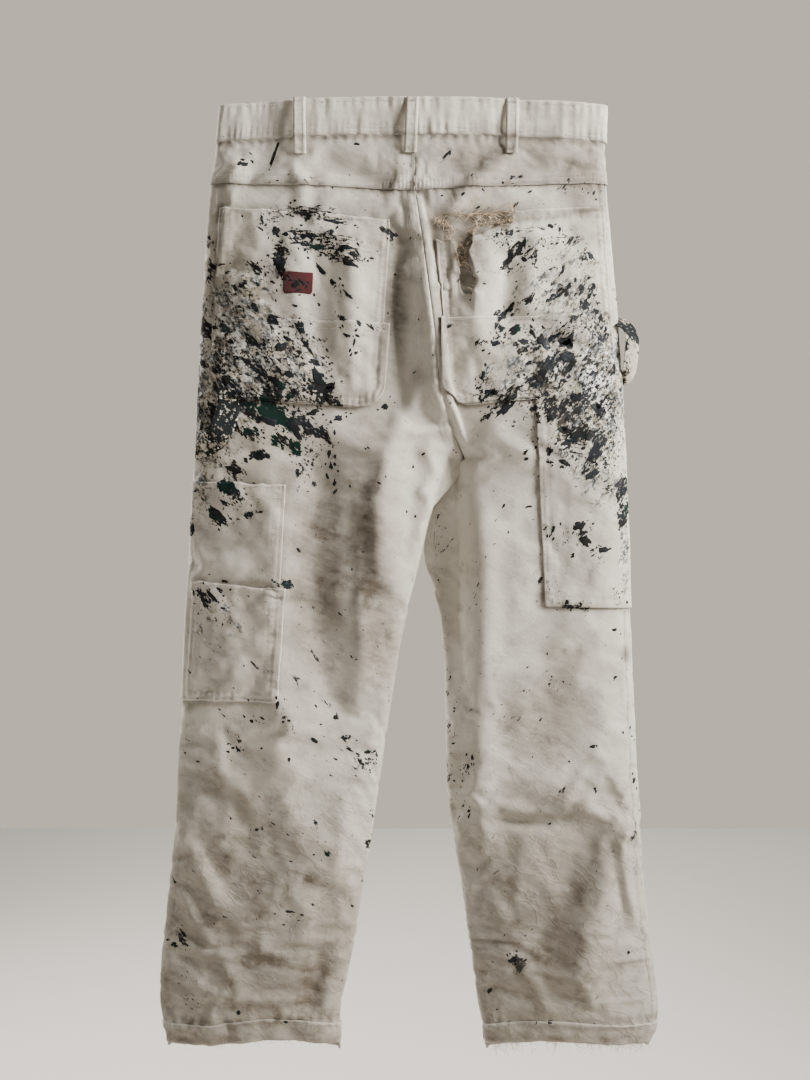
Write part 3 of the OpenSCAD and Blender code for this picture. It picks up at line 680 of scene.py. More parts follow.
def hollows(mesh, co):
    """How hollow (above 0) or raised (below 0) a mesh is at each point, from its neighbours."""
    edges = np.empty(len(mesh.edges) * 2, int)
    mesh.edges.foreach_get("vertices", edges)
    a, b = edges.reshape(-1, 2).T
    normals = vectors(mesh, "normal")
    away = co[b] - co[a]
    length = np.maximum(np.linalg.norm(away, axis=1), 1e-7)
    bend, count = np.zeros(len(co)), np.zeros(len(co))
    for i, way in ((a, away), (b, -away)):
        np.add.at(bend, i, (way * normals[i]).sum(1) / length)
        np.add.at(count, i, 1)
    bend = bend / np.maximum(count, 1)
    for _ in range(2):
        total = bend * 2
        np.add.at(total, a, bend[b])
        np.add.at(total, b, bend[a])
        bend = total / (count + 2)
    return bend


def paint(mesh, face, folds=True):
    """Stores the densities, the hollows, and each point's place at rest, on a mesh."""
    co = vectors(mesh)
    values = {"hollow": hollows(mesh, co) if folds else np.zeros(len(co))}
    values.update(densities(face, co[:, 0] / MM, co[:, 2] / MM))
    for kind, value in values.items():
        mesh.attributes.new(kind, "FLOAT", "POINT").data.foreach_set("value", value.astype(np.float32))
    mesh.attributes.new("rest", "FLOAT_VECTOR", "POINT").data.foreach_set("vector", co.ravel())

# ---------------------------------------------------------------- materials

class Nodes:
    """Short names for building a material's nodes."""

    def __init__(self, name):
        self.material = bpy.data.materials.new(name)
        self.material.use_nodes = True
        self.tree = self.material.node_tree
        self.shader = self.tree.nodes["Principled BSDF"]

    def new(self, kind, inputs=None, **settings):
        node = self.tree.nodes.new("ShaderNode" + kind)
        for key, value in settings.items():
            setattr(node, key, value)
        for key, value in (inputs or {}).items():
            self.put(node.inputs[key], value)
        return node

    def put(self, socket, value):
        if isinstance(value, bpy.types.NodeSocket):
            self.tree.links.new(value, socket)
        else:
            socket.default_value = value

    def math(self, operation, *values, clamp=False):
        node = self.new("Math", operation=operation, use_clamp=clamp)
        for socket, value in zip(node.inputs, values):
            self.put(socket, value)
        return node.outputs[0]

    def times(self, a, b):
        return self.math("MULTIPLY", a, b)

    def plus(self, a, b, clamp=False):
        return self.math("ADD", a, b, clamp=clamp)

    def minus(self, a, b):
        return self.math("SUBTRACT", a, b)

    def most(self, a, *others):
        for b in others:
            a = self.math("MAXIMUM", a, b)
        return a

    def range(self, value, low, high, to_low=0.0, to_high=1.0):
        node = self.new("MapRange", {"Value": value, "From Min": low, "From Max": high,
                                     "To Min": to_low, "To Max": to_high}, interpolation_type="SMOOTHSTEP")
        return node.outputs["Result"]

    def mix(self, share, a, b):
        node = self.new("Mix", data_type="RGBA")
        self.put(node.inputs["Factor"], share)
        self.put(node.inputs["A"], a)
        self.put(node.inputs["B"], b)
        return node.outputs["Result"]

    def noise(self, vector, scale, detail=4.0, rough=0.55, distortion=0.0):
        node = self.new("TexNoise", {"Vector": vector, "Scale": scale, "Detail": detail,
                                     "Roughness": rough, "Distortion": distortion})
        return node.outputs["Fac"]

    def attribute(self, name, output="Fac"):
        return self.new("Attribute", attribute_name=name).outputs[output]

    def axis(self, vector, name):
        return self.new("SeparateXYZ", {"Vector": vector}).outputs[name]

    def shifted(self, vector, by):
        return self.new("VectorMath", {0: vector, 1: (by, by, by)}, operation="ADD").outputs[0]

    def turned(self, vector, angle, scale):
        """The vector turned about Y and then scaled, so that the scale's axes turn too."""
        node = self.new("Mapping", {"Vector": vector, "Rotation": (0, angle, 0),
                                    "Scale": tuple(1 / k for k in scale)}, vector_type="TEXTURE")
        return node.outputs["Vector"]

    def wave(self, vector, scale, distortion, axis, detail=None):
        inputs = {"Vector": vector, "Scale": scale, "Distortion": distortion, **(detail or {})}
        node = self.new("TexWave", inputs, bands_direction=axis)
        return node.outputs["Fac"]

    def bump(self, height, strength, distance, normal=None):
        node = self.new("Bump", {"Height": height, "Strength": strength, "Distance": distance})
        if normal is not None:
            self.put(node.inputs["Normal"], normal)
        return node.outputs["Normal"]

    def done(self, inputs):
        for name, value in inputs.items():
            self.put(self.shader.inputs[name], value)
        return self.material


def colour(r, g, b):
    return (r, g, b, 1.0)


CLOTH_WHITE = colour(0.66, 0.625, 0.555)
DIRT_AND_SHADE = colour(0.128, 0.107, 0.083)
SEAM_DIRT_AND_SHADE = colour(0.085, 0.066, 0.046)
HOLLOW_DIRT_AND_SHADE = colour(0.16, 0.132, 0.100)
RIDGE_WEAR_AND_HIGHLIGHT = colour(0.78, 0.75, 0.68)
CHARCOAL = colour(0.0085, 0.0085, 0.0083)
NAVY = colour(0.0085, 0.0110, 0.0150)
GREEN = colour(0.0035, 0.0175, 0.0130)
LEFT_LEAN, RIGHT_LEAN = math.radians(-44), math.radians(40)    # which way the strokes lean on each half


def paint_layers(n, rest, tint, ink, green, haze, brush):
    """Dried paint over a colour: wiped paint, fine speckle, brush strokes and drops.
    Returns the colour and how much of the surface is under a dark film."""
    half = n.range(n.axis(rest, "X"), 0.0, 0.03)

    def leaning(across, along):
        left, right = (n.turned(rest, lean, (across, across, along)) for lean in (LEFT_LEAN, RIGHT_LEAN))
        return n.new("Mix", {"Factor": half, 4: left, 5: right}, data_type="VECTOR").outputs[1]

    def covered(noise, density, level, slope=0.34, soft=0.010):
        return n.range(n.math("MULTIPLY_ADD", density, slope, noise), level - soft, level + soft)

    def drops(vector, share, density, more, size):
        cell = n.new("TexVoronoi", {"Vector": vector, "Scale": 1.0, "Randomness": 1.0})
        chance = n.new("SeparateColor", {"Color": cell.outputs["Color"]}).outputs[0]
        spare = n.minus(n.math("MULTIPLY_ADD", density, more, share), chance)
        radius = n.times(n.math("MINIMUM", spare, 0.4), size)
        wobble = n.times(n.minus(n.noise(n.shifted(vector, 5.1), 2.4, 2), 0.5), 0.30)
        reach = n.plus(cell.outputs["Distance"], wobble)
        return n.times(n.range(n.minus(radius, reach), 0, 0.03), n.range(spare, 0, 0.02))

    strokes, scratches, grains = leaning(62, 27), leaning(260, 90), leaning(330, 210)
    # wiped paint: greys, ochres and whites, mottled
    wipe = covered(n.noise(leaning(95, 52), 1.0, 8, 0.74), haze, 0.668, 0.34, 0.045)
    hue = n.noise(leaning(64, 44), 1.0, 8, 0.72)
    mottle = n.noise(leaning(300, 170), 1.0, 6, 0.70)
    wiped = n.mix(n.range(hue, 0.465, 0.525), colour(0.125, 0.135, 0.140), colour(0.32, 0.275, 0.20))
    wiped = n.mix(n.range(mottle, 0.525, 0.575), wiped, colour(0.57, 0.56, 0.53))
    wiped = n.mix(n.range(mottle, 0.470, 0.425), wiped, colour(0.032, 0.037, 0.041))
    tint = n.mix(n.times(wipe, 0.93), tint, wiped)
    # white paint, wiped on thinly
    white = covered(n.noise(n.shifted(strokes, 9.7), 1.0, 5, 0.68), haze, 0.80, 0.30)
    tint = n.mix(n.times(white, 0.85), tint, colour(0.76, 0.75, 0.71))
    # dark marks
    fine = covered(n.noise(grains, 1.0, 4, 0.62), ink, 0.748)
    bold = covered(n.noise(strokes, 1.0, 4, 0.60, 0.25), ink, 0.728)
    bold = n.times(bold, n.range(n.noise(scratches, 1.3, 3, 0.6), 0.36, 0.44, 0.25, 1.0))
    small = drops(leaning(230, 150), 0.012, ink, 0.42, 1.1)
    large = drops(leaning(84, 46), 0.006, ink, 0.34, 1.3)
    # the brush caught the weave's high places only, along the way it was dragged
    dragged = n.noise(n.turned(rest, math.radians(5), (95, 95, 420)), 1.0, 5, 0.66)
    dragged = n.plus(dragged, n.times(n.minus(n.noise(grains, 2.0, 2), 0.5), 0.25))
    dark = n.most(n.most(fine, bold), n.most(small, large), covered(dragged, brush, 0.765, 0.34, 0.014))
    leaf = covered(n.noise(n.shifted(strokes, 19.3), 1.0, 5, 0.62, 0.3), green, 0.705)
    shade = n.mix(n.range(n.noise(rest, 46, 3), 0.44, 0.58), CHARCOAL, NAVY)
    pale = n.range(n.noise(n.shifted(strokes, 31.0), 1.6, 4, 0.7), 0.56, 0.68, 0, 0.6)
    shade = n.mix(pale, shade, colour(0.058, 0.058, 0.056))
    tint = n.mix(dark, tint, shade)
    tint = n.mix(leaf, tint, GREEN)
    stains = n.range(n.noise(n.shifted(strokes, 47.0), 0.8, 5, 0.66), 0.60, 0.66)
    tint = n.mix(n.times(stains, n.times(ink, 0.9)), tint, colour(0.105, 0.088, 0.070))
    return tint, n.most(dark, leaf)


def canvas(name, base=CLOTH_WHITE, painted=True, crust=False):
    """Worn cotton drill: twill, slubs, creases, grime with painted shade, painted shade in hollows and along
    seams, painted highlights on ridges, and dried paint where the densities say.
    A strap has a thick crust instead, with flakes of paint."""
    n = Nodes(name)
    rest = n.attribute("rest", "Vector")
    grime_and_shade, ink = n.attribute("grime_and_shade"), n.attribute("ink")
    # cloth colour
    threads = n.noise(n.turned(rest, 0, (900, 900, 160)), 1.0, 2)
    dull = tuple(c * k for c, k in zip(base, (0.90, 0.885, 0.86, 1)))
    tint = n.mix(n.range(n.noise(rest, 9, 4), 0.35, 0.7), base, dull)
    tint = n.mix(n.range(threads, 0.3, 0.7, 0.0, 0.12), tint, colour(0.45, 0.42, 0.36))
    # grime and painted shade sit in blotches and in fine smudges
    blotch = n.noise(rest, 26, 7, 0.68)
    smudge = n.noise(n.turned(rest, 0.3, (40, 40, 130)), 1.0, 5, 0.6)
    dirt_and_shade = n.times(grime_and_shade, n.range(blotch, 0.30, 0.68, 0.84, 1.05))
    dirt_and_shade = n.times(dirt_and_shade, n.range(smudge, 0.32, 0.66, 0.88, 1.10))
    everywhere = n.range(n.noise(rest, 34, 8, 0.70), 0.48, 0.70, 0.0, 0.26)
    dirt_and_shade = n.plus(n.times(dirt_and_shade, 0.78), everywhere, clamp=True)
    # the dirt colour also stands in for shade: painted shade on the left thigh's hollow, the right yoke and
    # the lower legs
    tint = n.mix(dirt_and_shade, tint, DIRT_AND_SHADE)
    # painted shade along the edges of pockets, yoke, band and hems, mixed with dirt
    shadow = n.times(n.attribute("edge_dirt_and_shade"), n.range(blotch, 0.30, 0.62, 0.35, 1.0))
    tint = n.mix(n.times(shadow, 0.85), tint, SEAM_DIRT_AND_SHADE)
    # painted shade in the hollows, with some dirt, and painted highlights on raised places, with some wear
    hollow = n.attribute("hollow")
    tint = n.mix(n.range(hollow, 0.015, 0.22, 0.0, 0.36), tint, HOLLOW_DIRT_AND_SHADE)
    tint = n.mix(n.range(hollow, -0.05, -0.32, 0.0, 0.30), tint, RIDGE_WEAR_AND_HIGHLIGHT)
    rough = 0.86
    twill = n.turned(rest, math.radians(27), (1, 1, 1))
    weave = n.wave(twill, 250, 1.2, "Z", {"Detail": 1.0, "Detail Scale": 1.0})
    height = n.plus(n.noise(rest, 420, 3), n.times(weave, 0.6))
    if painted:
        kinds = [n.attribute(kind) for kind in ("green", "haze", "brush")]
        tint, film = paint_layers(n, rest, tint, ink, *kinds)
        height = n.times(height, n.range(film, 0, 1, 1.0, 0.4))
        height = n.plus(height, n.times(film, 1.2))
        rough = n.range(film, 0, 1, 0.88, 0.74)
    if crust:
        flakes = n.math("MULTIPLY_ADD", ink, 0.32, n.noise(rest, 120, 6, 0.68))
        tint = n.mix(n.range(flakes, 0.585, 0.615), tint, colour(0.0075, 0.0105, 0.0105))
        tint = n.mix(n.range(n.noise(rest, 110, 4, 0.6), 0.60, 0.64), tint, colour(0.21, 0.18, 0.135))
        tint = n.mix(n.range(n.noise(rest, 210, 4, 0.7), 0.615, 0.64), tint, colour(0.64, 0.62, 0.56))
    # fine creases: the crests of a folded noise, and the worn lines along them
    folds = n.noise(n.turned(rest, 0.55, (26, 26, 44)), 1.0, 3, 0.5, 0.2)
    crest = n.range(n.math("ABSOLUTE", n.minus(folds, 0.5)), 0.045, 0.0)
    crest = n.times(crest, n.range(n.axis(rest, "Z"), -0.62, -0.86, 0.06, 1.0))
    tint = n.mix(n.times(crest, n.range(grime_and_shade, 0.1, 0.7, 0.0, 0.18)), tint, colour(0.20, 0.165, 0.12))
    creases = n.noise(n.turned(rest, 0.5, (48, 48, 90)), 1.0, 4, 0.5)
    creases = n.plus(creases, n.times(crest, 0.30))
    normal = n.bump(height, 0.55, 0.0004, n.bump(creases, 0.42, 0.0025))
    return n.done({"Specular IOR Level": 0.16, "Base Color": tint, "Roughness": rough, "Normal": normal})


def plain_cloth(name, base, other, scale=600, bump=0.5):
    """A simple woven cloth for linings, tapes, loose yarns and the label."""
    n = Nodes(name)
    at = n.new("TexCoord").outputs["Object"]
    tint = n.mix(n.range(n.noise(at, 45, 5), 0.35, 0.7), base, other)
    weave = n.most(*(n.wave(at, scale, 0.6, axis) for axis in "XZ"))
    return n.done({"Base Color": tint, "Normal": n.bump(weave, bump, 0.0003), "Roughness": 0.85})


def metal(name, base, dull, rough):
    n = Nodes(name)
    at = n.new("TexCoord").outputs["Object"]
    worn = n.noise(at, 900, 5, 0.6)
    return n.done({"Base Color": n.mix(n.range(worn, 0.4, 0.65), base, dull),
                   "Roughness": n.range(worn, 0.35, 0.7, rough, rough + 0.25),
                   "Normal": n.bump(n.noise(at, 2500, 3), 0.25, 0.0001), "Metallic": 1.0})


def film():
    """Thick dried paint, from charcoal to navy and dark green."""
    n = Nodes("dried_paint")
    at = n.new("TexCoord").outputs["Object"]
    tint = n.mix(n.range(n.noise(at, 42, 3), 0.42, 0.60), CHARCOAL, NAVY)
    tint = n.mix(n.range(n.noise(at, 31, 3, 0.5, 0.4), 0.58, 0.62), tint, GREEN)
    tint = n.mix(n.range(n.noise(at, 420, 5, 0.7), 0.56, 0.66, 0.0, 0.7), tint, colour(0.062, 0.064, 0.064))
    return n.done({"Base Color": tint, "Roughness": n.range(n.noise(at, 300, 4), 0.35, 0.65, 0.58, 0.82),
                   "Normal": n.bump(n.noise(at, 700, 4, 0.65), 0.5, 0.0003), "Specular IOR Level": 0.22})


FILM = film()
CANVAS = canvas("canvas")
STRAP = canvas("painted_strap", colour(0.46, 0.42, 0.34), painted=False, crust=True)
POCKETING = plain_cloth("pocketing", colour(0.68, 0.65, 0.58), colour(0.60, 0.57, 0.50))
TAPE = plain_cloth("zip_tape", colour(0.56, 0.52, 0.45), colour(0.48, 0.45, 0.38), 900)
RED = plain_cloth("label_red", colour(0.066, 0.0014, 0.0035), colour(0.042, 0.001, 0.0024), 800, 0.8)
BRASS = metal("zip_brass", colour(0.55, 0.40, 0.18), colour(0.22, 0.16, 0.08), 0.3)
STEEL = metal("button_nickel", colour(0.60, 0.58, 0.54), colour(0.30, 0.28, 0.25), 0.28)
THREAD = canvas("thread", colour(0.74, 0.70, 0.62))
FRAYED = plain_cloth("frayed", colour(0.72, 0.58, 0.42), colour(0.56, 0.42, 0.28), 2500)

# ---------------------------------------------------------------- meshes

def edit_mesh(mesh, change):
    """Changes a mesh by a function of its BMesh."""
    work = bmesh.new()
    work.from_mesh(mesh)
    change(work)
    work.to_mesh(mesh)
    work.free()


def finish_mesh(name, points, faces, material, face=None, folds=True):
    mesh = bpy.data.meshes.new(name)
    mesh.from_pydata([tuple(p) for p in points], [], [tuple(f) for f in faces])
    edit_mesh(mesh, lambda work: bmesh.ops.recalc_face_normals(work, faces=work.faces))
    mesh.polygons.foreach_set("use_smooth", [True] * len(mesh.polygons))
    obj = add_object(name, mesh)
    mesh.materials.append(material)
    if face is not None:
        paint(mesh, face, folds)
    return obj


def slab(name, top, bottom, material, face, keep=None):
    """A closed sheet between two grids of points. keep says which of its cells are there."""
    rows, columns = top.shape[:2]
    keep = np.ones((rows - 1, columns - 1), bool) if keep is None else keep
    count = rows * columns
    ids = np.arange(count).reshape(rows, columns)
    a, b, c, d = ids[:-1, :-1], ids[:-1, 1:], ids[1:, 1:], ids[1:, :-1]
    upper = np.stack([a, b, c, d], -1)[keep]
    lower = np.stack([a, d, c, b], -1)[keep] + count
    padded = np.pad(keep, 1)
    here = padded[1:-1, 1:-1]
    walls = []
    for free, p, q in ((padded[:-2, 1:-1], a, b), (padded[2:, 1:-1], c, d),
                       (padded[1:-1, :-2], d, a), (padded[1:-1, 2:], b, c)):
        rim = here & ~free
        walls.append(np.stack([p[rim], p[rim] + count, q[rim] + count, q[rim]], -1))
    faces = np.concatenate([upper, lower, *walls])
    used, inverse = np.unique(faces, return_inverse=True)
    points = np.concatenate([top.reshape(-1, 3), bottom.reshape(-1, 3)])[used]
    return finish_mesh(name, points, inverse.reshape(faces.shape), material, face)


pieces = {}


def follow(name, obj, body="hips", nodes=None, slot="canvas"):
    """Puts a piece on its body; where body is a pair of bodies, it only bakes the piece's place into its
    mesh.
    It stands for the CAD node of its own name, if nodes doesn't say otherwise."""
    obj.name = name + "_cloth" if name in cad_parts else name
    if nodes is None:
        nodes = [name]
    if nodes:
        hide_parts(*nodes)
    if isinstance(body, tuple):
        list(body)
        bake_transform(obj)
    else:
        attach(obj, body)
    pieces[name] = obj
    return obj


def add_slab(name, top, bottom, face=SEAT, material=CANVAS, keep=None, **more):
    return follow(name, slab(name, top, bottom, material, face, keep), **more)


def raised(base, normal, *heights):
    """A grid of points over base for each of the heights, in mm."""
    return [base + normal * (height * MM)[..., None] for height in heights]


def skins(face, x, z, high, low, side):
    """The outer and the inner skin of a sheet, by their heights over the cloth in mm."""
    return [at_place(face, x, z, height, side) for height in (high, low)]


def hip_and_leg(side):
    return "hips", leg(side)


def steps(a, b, n):
    return np.linspace(a, b, n + 1)


def edged(n, close=0.35):
    """n + 1 steps from 0 to 1 that crowd at both ends."""
    t = np.linspace(0, 1, n + 1)
    return close * (0.5 - 0.5 * np.cos(math.pi * t)) + (1 - close) * t


def yoke_seam(s):
    return -107 + 11 * s


def band_bottom(s):
    return -44 - 5 * s * s


def hem_line(side, face, s):
    """Lower edge of the hem. The front hangs a little lower than the back."""
    if face == SEAT:
        return -1050 + (6 if side == RIGHT else 8) * smooth(1 - abs(s - 0.35) / 0.5) - 4 * (1 - s) ** 4
    return -1061 + 3 * s

# ---------------------------------------------------------------- panels

SEAT_SEAM_ROWS = (2.5, 8.0, 13.5)     # rows of stitches beside the felled seat seam, mm
SIDE_SEAM_ROWS = (3.5, 9.5)           # and beside a side seam


def seam_pucker(d, along, pitch, height, reach):
    """Small gathers across a seam: d is the distance from it and along the place on it, in mm."""
    uneven = 0.55 + 0.6 * noise_a(along / 31, 7.7)
    phase = 2 * math.pi * along / pitch + 2.6 * noise_b(along / 19, d / 9)
    return height * uneven * np.sin(phase) * bump(d, reach)


def grooves(d, places, depth, width):
    """The hollows that rows of stitches press into the cloth, at the given distances from a seam."""
    return -depth * sum(bump(d - place, width) for place in places)


def on_shell(side, face, s, z):
    """The wrinkled cloth's grid of points, its normals, and x in mm."""
    base = shell_point(side, face, s, z)
    return base, outward(base, side * face), base[..., 0] / MM


def panel(side, face):
    """A front or back panel, from the yoke or the band down to the hem."""
    columns, rows = (66, 300) if face == SEAT else (46, 200)
    s, v = np.meshgrid(edged(columns, 0.6), edged(rows, 0.0))
    top = yoke_seam(s) + 6 if face == SEAT else band_bottom(s) + 3
    bottom = hem_line(side, face, s) + HEM_H - 2
    z = top + (bottom - top) * v
    base, normal, x = on_shell(side, face, s, z)
    width = abs(edge_out(side, z) - edge_in(side, face, z))
    gathers = seam_pucker(z - bottom, x, 11, 1.0, 16)
    gathers += seam_pucker((1 - s) * width, z, 13, 0.8, 10) + seam_pucker(s * width, z, 12, 0.8, 9)
    if face == SEAT:
        gathers += seam_pucker(z - top, x, 9.5, 1.0, 16)
        felled = (1 - s) * width
        gathers += 0.5 * smooth((11 - felled) / 2) + grooves(felled, SIDE_SEAM_ROWS, 0.4, 1.6)
        if side == LEFT:
            felled = np.where(z > CROTCH, s * width, 99)
            gathers += 0.7 * smooth((16 - felled) / 2) + grooves(felled, SEAT_SEAM_ROWS, 0.5, 1.5)
    gathers = gathers * np.minimum(1, np.minimum(s, 1 - s) * width / 4)
    kind = "back" if face == SEAT else "front"
    return add_slab(f"{kind}_panel_{word(side)}", *raised(base, normal, gathers, gathers - CLOTH_T), face,
                    body=hip_and_leg(side), nodes=[f"{kind}_hip_{word(side)}", f"{kind}_leg_{word(side)}"])


def yoke(side):
    s, v = np.meshgrid(edged(140, 0.4), steps(0, 1, 30))
    top, bottom = band_bottom(s) + 3, yoke_seam(s)
    z = top + (bottom - top) * v
    base, normal, x = on_shell(side, SEAT, s, z)
    rise = 1.1 * smooth((bottom + 16 - z) / 5) + 0.35 + 0.5 * bump(z - bottom - 1, 2)
    rise = rise + grooves(z - bottom, (3.2, 9.4), 0.45, 1.3)
    gathers = seam_pucker(z - bottom - 6, x, 4.2, 0.42, 7) + seam_pucker(z - top, x, 12, 0.7, 10)
    rise = rise + gathers * np.minimum(1, (1 - s) * 40)
    return add_slab("yoke_" + word(side), *raised(base, normal, rise, rise - CLOTH_T))


def hem(side):
    """The turned-up hem: a ring of three plies round the leg's end, worn through along its edge."""
    rings = []
    s, v = np.meshgrid(edged(60, 0.6), steps(0, 1, 9))
    for face in (SEAT, FLY):
        low = hem_line(side, face, s)
        z = low + HEM_H * (1 - v)
        base, normal, x = on_shell(side, face, s, z)
        lift = seam_pucker(z - low - 20, x, 9, 0.7, 12) + 0.8 * noise_c.layers(x / 7, z / 5, 2) * (v > 0.4)
        thick = 1.3 + 0.5 * np.sin(math.pi * v)
        rings.append(raised(base, normal, lift + thick * 0.8, lift - 1.6))
    top, bottom = (np.concatenate([seat, fly[:, ::-1], seat[:, :1]], 1) for seat, fly in zip(*rings))
    name = "hem_" + word(side)
    obj = slab(name, top, bottom, CANVAS, SEAT)
    edit_mesh(obj.data, lambda work: bmesh.ops.remove_doubles(work, verts=work.verts, dist=0.00002))
    return follow(name, obj, leg(side))


def rim(d, radius=1.3):
    """How much of its thickness a sheet has at a distance d from its edge."""
    return np.sqrt(1 - (1 - np.clip(d / radius, 0.04, 1)) ** 2)


for side, face in QUARTERS:
    panel(side, face)
for side in (LEFT, RIGHT):
    yoke(side)
    hem(side)

# ---------------------------------------------------------------- waistband and belt loops

BAND_COLUMNS = edged(110, 0.4)


def waistband():
    """A folded band round the waist, with the underlap inside the fly's upper end."""
    path = [(LEFT, FLY, s, 0) for s in BAND_COLUMNS]
    path += [(LEFT, SEAT, s, 0) for s in BAND_COLUMNS[::-1][1:]]
    path += [(RIGHT, SEAT, s, 0) for s in BAND_COLUMNS[1:]]
    path += [(RIGHT, FLY, s, 0) for s in BAND_COLUMNS[::-1][1:-1]]
    path += [(RIGHT, FLY, 0.02, 0.4), (RIGHT, FLY, 0.01, 1.5), (LEFT, FLY, 0.005, 3.0)]
    path += [(LEFT, FLY, s, 3.8) for s in np.linspace(0.02, 0.18, 14)]
    v = edged(18, 0.5)
    sheets = [], []
    run = 0.0
    for i, (side, face, s, inset) in enumerate(path):
        top, bottom = -6 * s * s, band_bottom(s)
        z = top + (bottom - top) * v
        p, n = surface(side, face, np.full(z.shape, s), z)
        if i:
            run += np.linalg.norm(p[9] - before) / MM
        before = p[9]
        uneven = 0.5 + 0.5 * float(noise_c(run / 40, 1.5))
        pucker = 0.6 * uneven * math.sin(run / 1.1 + 5 * noise_a(run / 24, 3)) * bump(z - bottom - 8, 8)
        pucker = pucker + 0.5 * uneven * math.sin(run / 1.4 + 5 * noise_b(run / 26, 5)) * bump(z - top + 8, 8)
        wave = noise_a(run / 16, z / 50) + 0.9 * noise_b(run / 7, z / 40) + 0.35 * noise_c(run / 34, z / 4)
        full = rim(np.minimum(top - z, z - bottom) + 0.1, 2.2)
        middle = -0.55 - inset + (pucker + wave) * smooth(full)
        roll = 0.9 * bump(z - bottom - 1.6, 1.8) - 0.4 * bump(top - z - 4.6, 1.3)
        roll = roll + grooves(z - bottom, (4.2, 9.2), 0.4, 1.2)
        for sheet, height in zip(sheets, (middle + (1.75 + roll) * full, middle - 1.35 * full)):
            sheet += raised(p, n, height)
    return add_slab("waistband", *(np.stack(sheet, 1) for sheet in sheets))


waistband()

LOOPS = {"belt_loop_back": (2, SEAT, -3), "belt_loop_back_left": (-124, SEAT, 1),
         "belt_loop_back_right": (113, SEAT, -2), "belt_loop_front_left": (-86, FLY, 1),
         "belt_loop_front_right": (86, FLY, -1)}      # x, face and how far the lower end leans, mm
LOOP_W, LOOP_H = 14.0, 66.0


def loop_path():
    """Heights z and distances from the cloth along a belt loop, from its top fold to its lower fold."""
    t = np.linspace(0, 1, 60)
    turns = [-3.5, 0.2, -1.5, -LOOP_H + 2, -LOOP_H - 0.5, -LOOP_H + 3]
    z = softened(np.interp(t, [0, 0.04, 0.08, 0.92, 0.97, 1], turns), 2)
    lift = 3.0 + 4.2 * np.sin(math.pi * np.clip((t - 0.14) / 0.72, 0, 1)) ** 0.6
    lift[:3] -= (1.4, 0.8, 0.3)
    lift[-3:] -= (0.4, 1.0, 1.7)
    return z, lift


def belt_loop(name, x, face, lean):
    """Builds a belt loop, and returns a function for the places of its stitches."""
    z, lift = loop_path()
    zz, uu = np.meshgrid(z, np.linspace(-1, 1, 13), indexing="ij")
    beneath = np.minimum if face == SEAT else np.maximum
    cloth = [at_place(face, np.full(z.shape, x + d), np.minimum(z, -0.1), 0)[:, 1] for d in (-6, 6, 0)]
    y = softened(beneath(beneath(cloth[0], cloth[1]), cloth[2]), 6)
    wear = 0.25 * noise_b(zz / 5, uu * 2 + x) + 0.12 * np.sin(zz / 0.9)
    ridge = 0.35 * bump(abs(uu) - 0.62, 0.16)
    px = x + lean * (-zz / LOOP_H) + uu * LOOP_W / 2 * (1 + 0.02 * noise_a(zz / 8, x))
    full = rim((1 - abs(uu)) * LOOP_W / 2, 0.9)
    py = y[:, None] + face * (lift[:, None] + (wear + ridge) * full) * MM
    skin_y = (py + way * face * 0.8 * full * MM for way in (1, -1))
    add_slab(name, *(np.stack([px * MM, qy, zz * MM], -1) for qy in skin_y), face)
    return lambda d, zs: np.stack([(x + d + lean * (-zs / LOOP_H)) * MM,
                                   np.interp(-zs, -z, y + face * (lift + 1.1) * MM), zs * MM], -1)


loop_faces = {name: belt_loop(name, *spec) for name, spec in LOOPS.items()}

# ---------------------------------------------------------------- pockets

